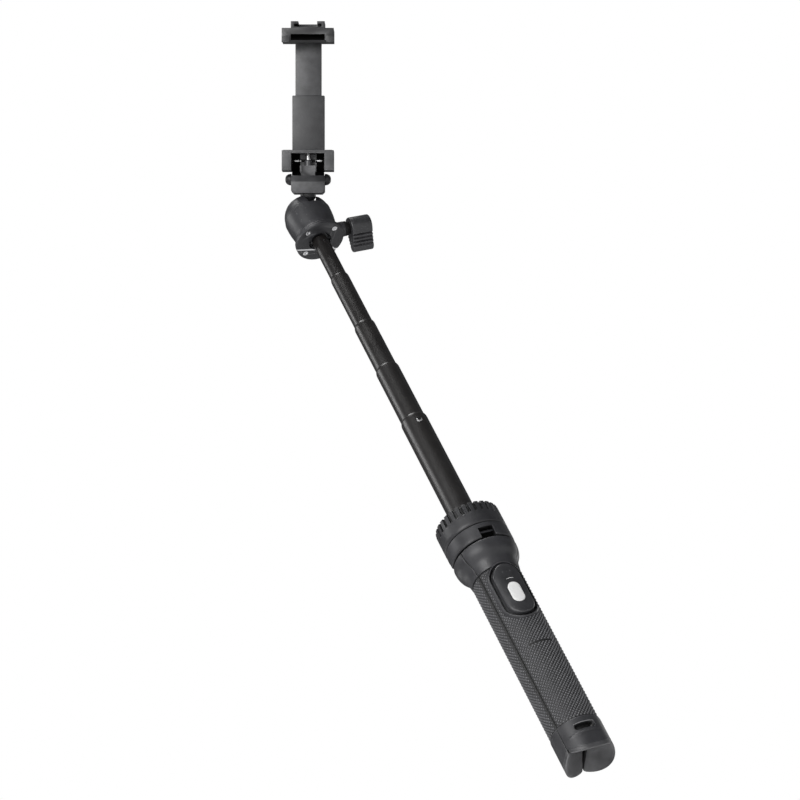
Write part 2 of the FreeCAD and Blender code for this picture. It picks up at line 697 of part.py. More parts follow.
def lower_jaw():
    half = JAW_W / 2
    post = half - JAW_POST
    body = box(-half, half, JAW_FRONT, JAW_BACK, JAW_Z0, JAW_Z1 - 0.3)
    recess = box(-post, post, JAW_FRONT - 1, JAW_BACK - 1.5, JAW_Z0 - 1, JAW_Z1 - 2.3)
    seat = box(-half + 0.9, half - 0.9, JAW_FRONT + 0.7, JAW_BACK - 1.2, JAW_Z1 - PAD_T, JAW_Z1 + 1)
    body = cut_all(body, [recess, seat])
    half_web = WEB_W / 2
    web = box(-half_web, half_web, -WEB_D / 2, WEB_D / 2, FOLD_Z, WEB_TOP)
    knuckle = rod(WEB_D / 2, V(-half_web, 0, FOLD_Z), V(half_web, 0, FOLD_Z))
    bridge = box(-half_web, half_web, 0, JAW_BACK - 0.5, JAW_Z0, WEB_TOP)
    ribs = [box(s * half_web - 0.6, s * half_web + 0.6, -WEB_D / 2 - 0.9, -WEB_D / 2 + 0.5,
                RIB_Z0, WEB_TOP) for s in (-1, 1)]
    body = joined([body, web, knuckle, bridge] + ribs)
    fold_bore = rod(FOLD_R + RUN, V(-20, 0, FOLD_Z), V(20, 0, FOLD_Z))
    rod_bore = cyl(ROD_R, WEB_TOP - 2, JAW_Z1 - 1.8)
    pin_bore = rod(CROSS_PIN_R, V(-post - 2, 2.6, CROSS_PIN_Z), V(post + 2, 2.6, CROSS_PIN_Z))
    return cut_all(body, [fold_bore, rod_bore, pin_bore])


def jaw_pad(z0):
    half = JAW_W / 2
    return box(-half + 1, half - 1, JAW_FRONT + 0.8, JAW_BACK - 1.3, z0, z0 + PAD_T)


def lower_spine():
    """Back housing fixed behind the lower jaw, open at the top for the slider."""
    half = SPINE_W / 2
    body = box(-half, half, JAW_BACK, SPINE_Y1, JAW_Z0 + 1.5, SPINE_TOP)
    channel = box(-half + 2, half - 2, JAW_BACK + 1.2, SPINE_Y1 - 1.2, JAW_Z0 + 4, SPINE_TOP + 1)
    return body.cut(channel)


def slider_face(inset):
    half = SPINE_W / 2 - 2 - inset
    return -half, half, JAW_BACK + 1.2 + inset, SPINE_Y1 - 1.2 - inset


def upper_spine():
    x0, x1, y0, y1 = slider_face(0.1)
    body = box(x0, x1, y0, y1, SLIDER_Z0, JAW_Z1 + GRIP_GAP + 4)
    middle = (y0 + y1) / 2
    bores = [cyl(SPRING_R + 0.6, SLIDER_Z0 - 1, JAW_Z1 + GRIP_GAP - 2, s * SPRING_X, middle)
             for s in (-1, 1)]
    return cut_all(body, bores)


def clamp_springs():
    """Pair of extension springs that pull the upper jaw down, inside the slider's bores."""
    middle = (JAW_BACK + SPINE_Y1) / 2
    z0 = JAW_Z0 + 4.2
    height = SPINE_TOP - z0 - 4
    radius = SPRING_R - SPRING_WIRE
    coils = []
    for side in (-1, 1):
        helix = Part.makeHelix(SPRING_PITCH, height, radius)
        wire = Part.Wire(helix)
        circle = Part.makeCircle(SPRING_WIRE, V(radius, 0, 0), Y_AXIS)
        coil = wire.makePipeShell([Part.Wire(circle)], True, True)
        coil.translate(V(side * SPRING_X, middle, z0 + SPRING_WIRE))
        coils.append(coil)
    return Part.makeCompound(coils)


def upper_jaw():
    half = JAW_W / 2
    z0 = JAW_Z1 + GRIP_GAP
    z1 = z0 + UPPER_H
    body = box(-half, half, JAW_FRONT, SPINE_Y1, z0 + 0.3, z1)
    inner = half - UPPER_POST
    recess = box(-inner, inner, JAW_FRONT - 1, JAW_FRONT + 3.5, z0 + 1.8, z1 - UPPER_BAR)
    seat = box(-half + 0.9, half - 0.9, JAW_FRONT + 0.7, JAW_BACK - 1.2, z0 - 1, z0 + PAD_T)
    x0, x1, y0, y1 = slider_face(0.1)
    socket = box(x0, x1, y0, y1, z0 - 1, z0 + 4)
    body = cut_all(body, [recess, seat, socket])
    lips = [box(min(s * half, s * (half - 5)), max(s * half, s * (half - 5)),
                JAW_FRONT - 1.2, JAW_FRONT + 0.6, z0 - 1.3, z0 + 3) for s in (-1, 1)]
    return joined([body] + lips)


def cold_shoe():
    z0 = JAW_Z1 + GRIP_GAP + UPPER_H
    half = SHOE_W / 2
    body = box(-half, half, -9, 9, z0, z0 + SHOE_H)
    channel = box(-SHOE_CHANNEL / 2, SHOE_CHANNEL / 2, -10, 7.5, z0 + 1.0, z0 + SHOE_H - SHOE_LIP_T)
    throat = box(-SHOE_LIP_GAP / 2, SHOE_LIP_GAP / 2, -10, 7.5, z0 + 1.0, z0 + SHOE_H + 1)
    return cut_all(body, [channel, throat])


def build_clamp():
    z_top = JAW_Z1 + GRIP_GAP
    half = JAW_W / 2 - JAW_POST
    save_on_ball("ball_stud", ball_stud())
    save_on_ball("clamp_block", clamp_block())
    save_on_ball("pivot_bolt", pivot_bolt())
    save_on_ball("pivot_nut", pivot_nut())
    save_on_ball("lower_jaw", lower_jaw())
    save_on_ball("lower_pad", jaw_pad(JAW_Z1 - PAD_T))
    save_on_ball("centre_rod", cyl(ROD_R, WEB_TOP - 2, JAW_Z1 - 2.3))
    pin = rod(CROSS_PIN_R, V(-half - 2, 2.6, CROSS_PIN_Z), V(half + 2, 2.6, CROSS_PIN_Z))
    save_on_ball("cross_pin", pin)
    save_on_ball("lower_spine", lower_spine())
    save_on_ball("clamp_springs", clamp_springs())
    save_on_ball("upper_spine", upper_spine())
    save_on_ball("upper_jaw", upper_jaw())
    save_on_ball("upper_pad", jaw_pad(z_top))
    save_on_ball("cold_shoe", cold_shoe())


os.makedirs("parts", exist_ok=True)
build_hub()
build_legs()
build_remote()
build_pole()
build_head()
build_clamp()
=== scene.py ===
"""Visual model of a selfie stick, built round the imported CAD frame.

Sizes in this script are millimetres; closed_mesh() turns them into metres. The pole runs up +Z.
The floor, the lights and the camera are placed in metres.
"""
import json
import math

import bmesh
import bpy
import numpy as np
from mathutils import Matrix, Vector

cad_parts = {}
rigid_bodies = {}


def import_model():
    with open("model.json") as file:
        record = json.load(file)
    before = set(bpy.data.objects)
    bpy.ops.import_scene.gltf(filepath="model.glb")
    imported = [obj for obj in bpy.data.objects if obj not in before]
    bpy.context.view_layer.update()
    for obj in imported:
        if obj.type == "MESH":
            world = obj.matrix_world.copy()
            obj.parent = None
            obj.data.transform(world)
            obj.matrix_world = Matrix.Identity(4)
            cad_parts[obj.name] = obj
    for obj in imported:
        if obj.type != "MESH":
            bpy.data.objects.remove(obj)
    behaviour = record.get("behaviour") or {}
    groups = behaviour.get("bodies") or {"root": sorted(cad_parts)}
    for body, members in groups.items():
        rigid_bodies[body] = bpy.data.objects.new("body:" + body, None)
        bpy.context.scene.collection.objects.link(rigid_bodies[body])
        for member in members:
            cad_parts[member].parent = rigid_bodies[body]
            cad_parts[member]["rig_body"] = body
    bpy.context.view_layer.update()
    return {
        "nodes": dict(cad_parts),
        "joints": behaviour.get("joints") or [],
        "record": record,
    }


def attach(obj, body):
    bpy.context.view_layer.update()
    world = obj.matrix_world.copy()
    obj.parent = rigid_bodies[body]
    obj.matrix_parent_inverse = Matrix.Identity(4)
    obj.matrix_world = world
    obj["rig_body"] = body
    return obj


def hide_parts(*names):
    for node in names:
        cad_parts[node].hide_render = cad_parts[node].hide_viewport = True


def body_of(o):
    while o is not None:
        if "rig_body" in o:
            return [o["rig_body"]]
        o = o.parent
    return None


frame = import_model()
MM = 0.001

# ---- driving sizes, shared by several pieces ----
HANDLE_R = 16.05
GRIP_IN_R = HANDLE_R - 1.35
CAP_R = 16.3
CAP_TOP = 23.5
LEG_IN_R = 11.2
SHOULDER_Z = 142.0
SHOULDER_TOP = 160.0
SHOULDER_R = 21.0
FOOT_SLOPE = math.tan(math.radians(32.0))
FOOT_T = 3.2
CAP_BASE = FOOT_T + 0.12
SEAM_HALF = 0.2
LEG_ANGLES = {"front": -90.0, "right": 30.0, "left": 150.0}
PIVOT_R = 18.2
PIVOT_Z = 166.0
HUB_R = 21.15
HUB_Z0 = 161.2
HUB_Z1 = 171.8
RING_R = 21.2
RING_Z0 = 172.3
RING_Z1 = 188.8
RING_RIM_R = 17.5
KNURLS = 30
TUBE_R = (8.9, 8.0, 7.15, 6.35, 5.6)
TUBE_TOP = (277.5, 323.7, 364.4, 410.2, 447.4)
TUBE_L = (158.0, 147.0, 144.0, 141.0, 136.0)
TUBE_WALL = 0.5
REMOTE_Z = 121.5
REMOTE_L = 38.0
REMOTE_W = 17.5
REMOTE_R = 18.0
BUTTON_Z = 118.0
BUTTON_W = 8.0
BUTTON_L = 15.0
BALL_Z = 469.0
BALL_R = 12.9
SHAFT_Z = 453.2
JAW_Z1 = 45.7
WEB_TOP = 35.6
ROD_Z0 = 39.2
PIN_Y = 2.6
PIN_Z = 39.2
FOLD_Z = 26.2
BEVEL_ANGLE = 32.0


# ---- outline and mesh helpers ----
def rounded(corners, steps=5):
    """Closed outline from (x, y, radius) corners, each corner turned into an arc."""
    out = []
    count = len(corners)
    for i, (x, y, radius) in enumerate(corners):
        here = np.array((x, y), float)
        back = np.array(corners[i - 1][:2], float) - here
        ahead = np.array(corners[(i + 1) % count][:2], float) - here
        len_a, len_b = np.linalg.norm(back), np.linalg.norm(ahead)
        if radius <= 0:
            out.append((x, y))
            continue
        back, ahead = back / len_a, ahead / len_b
        half = math.acos(max(-1.0, min(1.0, float(back @ ahead)))) / 2
        cut = min(radius / math.tan(half), 0.49 * len_a, 0.49 * len_b)
        arc_r = cut * math.tan(half)
        middle = back + ahead
        centre = here + middle / np.linalg.norm(middle) * arc_r / math.sin(half)
        first = here + back * cut - centre
        last = here + ahead * cut - centre
        a0 = math.atan2(first[1], first[0])
        turn = (math.atan2(last[1], last[0]) - a0 + math.pi) % (2 * math.pi) - math.pi
        for s in range(steps + 1):
            a = a0 + turn * s / steps
            out.append((centre[0] + arc_r * math.cos(a), centre[1] + arc_r * math.sin(a)))
    return out


def smooth_curve(points, steps=6):
    """Catmull-Rom curve through (r, z) points."""
    out = []
    pts = [np.array(p, float) for p in points]
    pts = [2 * pts[0] - pts[1]] + pts + [2 * pts[-1] - pts[-2]]
    for i in range(1, len(pts) - 2):
        a, b, c, d = pts[i - 1:i + 3]
        for s in range(steps):
            t = s / steps
            out.append(tuple(0.5 * (2 * b + (c - a) * t + (2 * a - 5 * b + 4 * c - d) * t * t
                                    + (3 * b - a - 3 * c + d) * t ** 3)))
    out.append(tuple(pts[-2]))
    return out


def skin(rings, closed=False):
    """Vertices and faces of a tube of quads through equal closed rings, capped unless closed."""
    size = len(rings[0])
    verts = [tuple(p) for ring in rings for p in ring]
    faces = []
    count = len(rings)
    for i in range(count if closed else count - 1):
        a = i * size
        b = ((i + 1) % count) * size
        for j in range(size):
            k = (j + 1) % size
            faces.append((a + j, a + k, b + k, b + j))
    if not closed:
        faces.append(tuple(reversed(range(size))))
        faces.append(tuple(range((count - 1) * size, count * size)))
    return verts, faces


def turn_z(degrees):
    return Matrix.Rotation(math.radians(degrees), 4, "Z")


def polar(radius, angle, z):
    """Point at a radius and an angle about Z."""
    return radius * math.cos(angle), radius * math.sin(angle), z


def lathe(profile, columns=96):
    """Closed (r, z) profile turned about Z."""
    return skin([[polar(r, 2 * math.pi * i / columns, z) for r, z in profile]
                 for i in range(columns)], closed=True)


def drawn_in(outline, centre, inset):
    """Outline whose points are all moved towards a centre by the same distance."""
    cx, cy = centre
    out = []
    for x, y in outline:
        share = max(0.0, 1 - inset / math.hypot(x - cx, y - cy))
        out.append((cx + (x - cx) * share, cy + (y - cy) * share))
    return out


def stadium(width, length, steps):
    """Outline of a rounded slab centred on the origin, long in its second coordinate."""
    half = width / 2
    straight = length / 2 - half
    out = []
    for end, start in ((1, 0.0), (-1, math.pi)):
        for s in range(steps + 1):
            a = start + math.pi * s / steps
            out.append((half * math.cos(a), end * straight + half * math.sin(a)))
    return out


def closed_mesh(name, geometry):
    """Mesh in metres from (vertices in mm, faces), with its faces turned outwards."""
    verts, faces = geometry
    mesh = bpy.data.meshes.new(name)
    mesh.from_pydata([(x * MM, y * MM, z * MM) for x, y, z in verts], [], faces)
    bm = bmesh.new()
    bm.from_mesh(mesh)
    bmesh.ops.remove_doubles(bm, verts=bm.verts, dist=1e-7)
    bmesh.ops.recalc_face_normals(bm, faces=bm.faces)
    bm.to_mesh(mesh)
    bm.free()
    return mesh


def mesh_piece(name, geometry, look, body, nodes=(), place=None, sharp=35.0):
    """Makes one visible piece from (vertices in mm, faces) and puts it on its CAD body."""
    mesh = closed_mesh(name, geometry)
    if place is not None:
        mesh.transform(place)
    return finish_piece(name, mesh, look, body, nodes, sharp)


def add_object(name, data):
    thing = bpy.data.objects.new(name, data)
    bpy.context.scene.collection.objects.link(thing)
    return thing


def evaluated_mesh(thing):
    """New mesh of an object with its modifiers applied."""
    graph = bpy.context.evaluated_depsgraph_get()
    return bpy.data.meshes.new_from_object(thing.evaluated_get(graph))


def finish_piece(name, mesh, look, body, nodes, sharp):
    """Gives a mesh its material and shading and rides it on its CAD body."""
    mesh.shade_smooth()
    mesh.set_sharp_from_angle(angle=math.radians(sharp))
    mesh.materials.clear()
    mesh.materials.append(look["material"])
    piece = add_object(name, mesh)
    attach(piece, body)
    if nodes:
        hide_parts(*nodes)
    return piece


def cad_bmesh(node, place=None):
    """Welded copy of a CAD node's mesh, with flat faces joined up, moved by the inverse of place."""
    bm = bmesh.new()
    bm.from_mesh(frame["nodes"][node].data)
    bmesh.ops.remove_doubles(bm, verts=bm.verts, dist=2e-6)
    if place is not None:
        bm.transform(place.inverted())
    bmesh.ops.dissolve_limit(bm, angle_limit=math.radians(0.6), verts=bm.verts, edges=bm.edges)
    return bm


def bevelled(node, look, width, place=None, segments=2):
    """A CAD node's own shape with its sharp edges rounded over."""
    bm = cad_bmesh(node, place)
    edges = [e for e in bm.edges if len(e.link_faces) == 2
             and e.calc_face_angle(0) > math.radians(BEVEL_ANGLE)]
    bmesh.ops.bevel(bm, geom=edges, offset=width * MM, segments=segments, profile=0.5,
                    affect="EDGES", clamp_overlap=True)
    mesh = bpy.data.meshes.new(node + "_skin")
    bm.to_mesh(mesh)
    bm.free()
    if place is not None:
        mesh.transform(place)
    body = body_of(frame["nodes"][node])[0]
    return finish_piece(node + "_skin", mesh, look, body, (node,), BEVEL_ANGLE)


def cast_piece(node, look, voxel, rounds):
    """A CAD node's shape as a casting: remeshed finely and smoothed, so edges and joins are soft."""
    bm = cad_bmesh(node)
    mesh = bpy.data.meshes.new(node + "_cast")
    bm.to_mesh(mesh)
    bm.free()
    temp = add_object("casting", mesh)
    remesh = temp.modifiers.new("remesh", "REMESH")
    remesh.mode = "VOXEL"
    remesh.voxel_size = voxel * MM
    soften = temp.modifiers.new("soften", "SMOOTH")
    soften.factor = 0.5
    soften.iterations = rounds
    done = evaluated_mesh(temp)
    bpy.data.objects.remove(temp)
    body = body_of(frame["nodes"][node])[0]
    done.name = node + "_skin"
    return finish_piece(node + "_skin", done, look, body, (node,), 60.0)


def smooth_step(low, high, value):
    """0 at low, 1 at high, with soft ends; low may be the larger of the two."""
    t = max(0.0, min(1.0, (value - low) / (high - low)))
    return t * t * (3 - 2 * t)


# ---- frame of the clamp ----
def clamp_place():
    """Frame of the clamp at rest: ball centre, tilted with the ball and swivelled on the stem."""
    fold = next(j for j in frame["joints"] if j["name"] == "clamp_fold")
    slide = next(j for j in frame["joints"] if j["name"] == "jaw_slide")
    right = Vector(fold["axis"]).normalized()
    up = Vector(slide["axis"]).normalized()
    back = up.cross(right)
    place = Matrix((right, back, up)).transposed().to_4x4()
    place.translation = Vector((0, 0, BALL_Z * MM))
    return place


CLAMP = clamp_place()
# boxes of painted shade in the clamp's deep hollows, where the colour turns nearly black: centre and
# half size along each of its axes
WEB_SHADE_BOX = ((8.45, 2.84), (-1.4, 6.1), (36.05, 7.4))
LIP_SHADE_BOX = ((0.0, 11.55), (-8.1, 2.2), (121.4, 2.6))
# near-black colour of painted shade, for the clamp's hollows and the hinge windows
SHADE_BLACK = (0.002, 0.002, 0.002)


# ---- materials ----
def noise_node(tree, coords, scale, detail, roughness=0.55):
    """Noise texture on given coordinates."""
    node = tree.nodes.new("ShaderNodeTexNoise")
    node.inputs["Scale"].default_value = scale
    node.inputs["Detail"].default_value = detail
    node.inputs["Roughness"].default_value = roughness
    tree.links.new(coords, node.inputs["Vector"])
    return node.outputs["Fac"]


def ramp_node(tree, source, low, high, low_value, high_value):
    """Value mapped from the range (low, high) to (low_value, high_value)."""
    node = tree.nodes.new("ShaderNodeMapRange")
    node.inputs["From Min"].default_value = low
    node.inputs["From Max"].default_value = high
    node.inputs["To Min"].default_value = low_value
    node.inputs["To Max"].default_value = high_value
    tree.links.new(source, node.inputs["Value"])
    return node.outputs["Result"]


def color_mix(tree, blend="MIX"):
    mix = tree.nodes.new("ShaderNodeMix")
    mix.data_type = "RGBA"
    mix.blend_type = blend
    return mix


def share_mix(tree, share):
    """Mix node that multiplies its colour A by a ramp's value."""
    mix = color_mix(tree, "MULTIPLY")
    mix.inputs["Factor"].default_value = 1.0
    grey = tree.nodes.new("ShaderNodeCombineColor")
    for channel in ("Red", "Green", "Blue"):
        tree.links.new(share, grey.inputs[channel])
    tree.links.new(grey.outputs["Color"], mix.inputs["B"])
    return mix


def paint_relief_shade(tree, coords, color, relief_shade):
    """Painted shade and painted highlight by radius about the Z axis: colour darkened in the valleys
    and lightened on the crests of a knurl, and darkened in recesses.
    """
    flat = tree.nodes.new("ShaderNodeVectorMath")
    flat.operation = "MULTIPLY"
    flat.inputs[1].default_value = (1.0, 1.0, 0.0)
    tree.links.new(coords, flat.inputs[0])
    reach = tree.nodes.new("ShaderNodeVectorMath")
    reach.operation = "LENGTH"
    tree.links.new(flat.outputs["Vector"], reach.inputs[0])
    low, high, low_tone, high_tone = relief_shade
    mix = share_mix(tree, ramp_node(tree, reach.outputs["Value"], low * MM, high * MM, low_tone,
                                    high_tone))
    tree.links.new(color, mix.inputs["A"])
    return mix.outputs["Result"]


def shade_zone_mask(tree, coords, place, zones):
    """1 inside any of the boxes of painted shade, each (centre, half size) per axis of a placed frame,
    x mirrored.
    """
    inverse = place.inverted()
    masks = []
    for zone in zones:
        total = 1.0
        for axis, (middle, half) in enumerate(zone):
            dot = tree.nodes.new("ShaderNodeVectorMath")
            dot.operation = "DOT_PRODUCT"
            dot.inputs[1].default_value = inverse[axis][:3]
            tree.links.new(coords, dot.inputs[0])
            shift = math_node(tree, "ADD", dot.outputs["Value"], inverse[axis][3])
            value = math_node(tree, "ABSOLUTE", shift) if axis == 0 else shift
            inside = math_node(tree, "COMPARE", value, middle * MM, half * MM)
            total = math_node(tree, "MULTIPLY", total, inside)
        masks.append(total)
    return math_node(tree, "MAXIMUM", *masks)


def math_node(tree, operation, *values):
    """Result of a math node; its inputs are numbers or other nodes' outputs."""
    node = tree.nodes.new("ShaderNodeMath")
    node.operation = operation
    for socket, value in zip(node.inputs, values):
        if isinstance(value, float):
            socket.default_value = value
        else:
            tree.links.new(value, socket)
    return node.outputs["Value"]


def paint_hollow_shade(tree, coords, color, place, zones):
    """Painted shade: colour turned nearly black inside the boxes, the deep hollows of the clamp where
    shade falls.
    """
    mix = color_mix(tree)
    tree.links.new(shade_zone_mask(tree, coords, place, zones), mix.inputs["Factor"])
    tree.links.new(color, mix.inputs["A"])
    mix.inputs["B"].default_value = (*SHADE_BLACK, 1.0)
    return mix.outputs["Result"]


def rubbed_tone(tree, cloud, color, wear, wear_color):
    """Colour worn towards another one along sharp edges, in patches."""
    edge = tree.nodes.new("ShaderNodeNewGeometry").outputs["Pointiness"]
    rubbed = ramp_node(tree, edge, 0.53, 0.62, 0.0, wear)
    patchy = ramp_node(tree, cloud, 0.35, 0.6, 0.3, 1.0)
    share = math_node(tree, "MULTIPLY", rubbed, patchy)
    mix = color_mix(tree)
    tree.links.new(share, mix.inputs["Factor"])
    tree.links.new(color, mix.inputs["A"])
    mix.inputs["B"].default_value = (*wear_color, 1.0)
    return mix.outputs["Result"]


PATCH_SCALE = 90.0


def finish_look(slot, color, rough, grain=9000.0, grain_depth=0.012, patch_rough=0.08, shade=0.25,
                wear=0.35, wear_color=(0.16, 0.16, 0.165), metallic=0.0, specular=0.5, streak=None,
                coat=0.0, relief_shade=None, hollow_shade=None):
    """Procedural finish: fine grain bump, cloudy tone and gloss, rubbed edges, optional streaks,
    optional painted shade and painted highlight.

    grain is a noise scale per metre; grain_depth is a bump height in millimetres.
    The relief radii are two radii about the pole's axis and the share of the colour kept at each of
    them: painted shade in valleys and recesses, and a painted highlight on crests where the share is
    above 1.
    The hollow frame and its boxes mark where painted shade turns the colour nearly black and takes away
    the specular.
    """
    material = bpy.data.materials.new(slot)
    material.use_nodes = True
    tree = material.node_tree
    shader = tree.nodes["Principled BSDF"]
    coords = tree.nodes.new("ShaderNodeTexCoord").outputs["Object"]
    fine_coords = coords
    if streak:
        mapping = tree.nodes.new("ShaderNodeMapping")
        mapping.inputs["Scale"].default_value = streak
        tree.links.new(coords, mapping.inputs["Vector"])
        fine_coords = mapping.outputs["Vector"]
    fine = noise_node(tree, fine_coords, grain, 3.0)
    cloud = noise_node(tree, coords, PATCH_SCALE, 5.0, 0.6)
    tone = ramp_node(tree, cloud, 0.3, 0.7, 1.0 - shade, 1.0 + shade)
    base = share_mix(tree, tone)
    base.inputs["A"].default_value = (*color, 1.0)
    shown = base.outputs["Result"]
    # painted shade in valleys and recesses and painted highlight on crests, by radius about the axis
    if relief_shade:
        shown = paint_relief_shade(tree, coords, shown, relief_shade)
    shown = rubbed_tone(tree, cloud, shown, wear, wear_color)
    # painted shade in the hollow boxes: colour nearly black and no specular there
    if hollow_shade:
        shown = paint_hollow_shade(tree, coords, shown, *hollow_shade)
        lit = math_node(tree, "SUBTRACT", 1.0, shade_zone_mask(tree, coords, *hollow_shade))
        shine = math_node(tree, "MULTIPLY", lit, float(specular))
        tree.links.new(shine, shader.inputs["Specular IOR Level"])
    tree.links.new(shown, shader.inputs["Base Color"])
    gloss = ramp_node(tree, cloud, 0.3, 0.7, rough - patch_rough, rough + patch_rough)
    tree.links.new(gloss, shader.inputs["Roughness"])
    bump = tree.nodes.new("ShaderNodeBump")
    bump.inputs["Distance"].default_value = grain_depth * MM
    bump.inputs["Strength"].default_value = 1.0
    tree.links.new(fine, bump.inputs["Height"])
    tree.links.new(bump.outputs["Normal"], shader.inputs["Normal"])
    shader.inputs["Metallic"].default_value = metallic
    shader.inputs["Specular IOR Level"].default_value = specular
    shader.inputs["Coat Weight"].default_value = coat
    return {"material": material, "slot": slot}


CHARCOAL = (0.0205, 0.0205, 0.023)
# light grey of a painted highlight on a lit edge
LIP_HIGHLIGHT_GREY = (0.16, 0.16, 0.165)
MOULDED = {"grain": 5200, "grain_depth": 0.010}
COARSE = {"grain": 5200, "grain_depth": 0.012}
RUBBER = {"grain": 6000, "grain_depth": 0.012}
LOOKS = {
    "shell_plastic": finish_look("shell_plastic", CHARCOAL, 0.46, **MOULDED),
    # knurl valleys painted dark and crests painted light: painted shade and painted highlight
    "grip_rubber": finish_look("grip_rubber", (0.030, 0.030, 0.032), 0.62, grain=7000,
                               grain_depth=0.014, wear=0.25, wear_color=(0.10, 0.10, 0.105),
                               relief_shade=(15.52, 16.02, 0.03, 5.2)),
    # the strap slot painted dark: painted shade in the recess
    "cap_plastic": finish_look("shell_plastic", CHARCOAL, 0.46, relief_shade=(14.4, 15.7, 0.03, 1.0),
                               **MOULDED),
    # a lighter copy of the shell plastic: painted highlight
    "slot_lip": finish_look("shell_plastic", LIP_HIGHLIGHT_GREY, 0.3, wear=0.0),
    # one rubber in two tones: the sole's grey is partly its own colour and partly painted light, and
    # the side band is darkened as painted shade
    "foot_rubber": finish_look("foot_rubber", (0.15, 0.15, 0.155), 0.6, wear=0.2, **RUBBER),
    "foot_band": finish_look("foot_rubber", (0.03, 0.03, 0.032), 0.5, **RUBBER),
    # the ring's slots and rims painted darker: painted shade
    "ring_plastic": finish_look("ring_plastic", (0.0175, 0.0175, 0.0195), 0.46,
                                relief_shade=(20.0, 21.0, 0.05, 1.0), **COARSE),
    # the hinge windows and the rims painted darker: painted shade
    "hub_plastic": finish_look("shell_plastic", CHARCOAL, 0.46, relief_shade=(20.1, 20.95, 0.03, 1.0),
                               **MOULDED),
    "inner_plastic": finish_look("inner_plastic", (0.006, 0.006, 0.006), 0.6, specular=0.15, wear=0.05),
    # near-black without specular: painted shade for the parts seen in the hinge windows
    "window_black": finish_look("inner_plastic", SHADE_BLACK, 0.9, specular=0.0, wear=0.0),
    "tube_black": finish_look("tube_black", (0.008, 0.007, 0.0067), 0.37, grain=900,
                              grain_depth=0.0001, streak=(1.0, 1.0, 0.05), shade=0.15,
                              patch_rough=0.03, wear=0.08),
    "bush_plastic": finish_look("bush_plastic", (0.55, 0.54, 0.50), 0.45, wear=0.0),
    "ball_seat": finish_look("bush_plastic", (0.012, 0.012, 0.013), 0.5, wear=0.0),
    "chrome_steel": finish_look("chrome_steel", (0.80, 0.80, 0.81), 0.16, grain=1800,
                                grain_depth=0.002, patch_rough=0.05, shade=0.06, metallic=1.0,
                                wear=0.0),
    "dark_steel": finish_look("dark_steel", (0.05, 0.05, 0.055), 0.55, metallic=1.0, wear=0.0,
                              shade=0.12),
    "button_silver": finish_look("button_silver", (0.60, 0.60, 0.595), 0.42, grain=5000,
                                 grain_depth=0.004, shade=0.05, wear=0.0),
    "remote_plastic": finish_look("remote_plastic", (0.020, 0.020, 0.022), 0.40, grain=8000,
                                  grain_depth=0.006),
    "lamp_clear": finish_look("lamp_clear", (0.10, 0.10, 0.105), 0.2, wear=0.0, shade=0.1),
    "circuit_green": finish_look("circuit_green", (0.02, 0.16, 0.06), 0.35, wear=0.0, coat=0.5),
    "ball_black": finish_look("ball_black", (0.012, 0.012, 0.013), 0.42, grain_depth=0.003,
                              specular=0.35),
    "pad_rubber": finish_look("pad_rubber", (0.02, 0.02, 0.021), 0.7, grain=4200,
                              grain_depth=0.02, wear=0.1),
    "spring_steel": finish_look("spring_steel", (0.7, 0.7, 0.7), 0.42, metallic=1.0, wear=0.0),
    # clamp plastic with painted shade in its deep hollows
    "clamp_plastic": finish_look("clamp_plastic", (0.018, 0.018, 0.0195), 0.45,
                                 hollow_shade=(CLAMP, (WEB_SHADE_BOX, LIP_SHADE_BOX)), **COARSE),
    "lever_plastic": finish_look("clamp_plastic", (0.026, 0.026, 0.028), 0.40, **COARSE),
}


# ---- legs ----
LEG_HALF_TURN = math.radians(60)
EDGE_SOFT = 0.20
EDGE_DROP = 0.16


def sector_angles(radius, step):
    """Angles across one leg, ending where the leg's side faces meet a given radius."""
    edge = LEG_HALF_TURN - math.asin(SEAM_HALF / radius)
    soft = EDGE_SOFT / radius
    inner = edge - 2.2 * soft
    count = max(4, int(round(2 * inner * radius / step)))
    middle = [-inner + 2 * inner * i / count for i in range(count + 1)]
    return [-edge, -edge + 0.5 * soft] + middle + [edge - 0.5 * soft, edge], edge, soft


def seam_drop(angle, edge, soft):
    """How far a leg's outer skin turns in at its side faces, as a small rounding."""
    t = max(0.0, 1.0 - (edge - abs(angle)) / (1.6 * soft))
    return EDGE_DROP * t * t


def slant_z(radius, angle, height):
    """Height of the slanted foot's plane at a point of the leg, raised by height."""
    return (CAP_R - radius * math.cos(angle)) * FOOT_SLOPE + height


SLOT_Z = 17.3
SLOT_HALF_W = 6.5
SLOT_HALF_H = 1.95
SLOT_DEPTH = 3.2
CAP_RIDGE_Z = 13.0
CAP_RIDGE_H = 0.28


def strap_dip(x, z):
    """Depth of the strap slot at a point of the front leg's end cap, less the ridge below it."""
    dx = max(abs(x) - (SLOT_HALF_W - SLOT_HALF_H), 0.0)
    gap = math.hypot(dx, z - SLOT_Z) - SLOT_HALF_H
    low = smooth_step(0.6, 0.1, abs(z - CAP_RIDGE_Z))
    ridge = CAP_RIDGE_H * low * smooth_step(12.5, 9.0, abs(x))
    return SLOT_DEPTH * smooth_step(0.22, -0.22, gap) - ridge


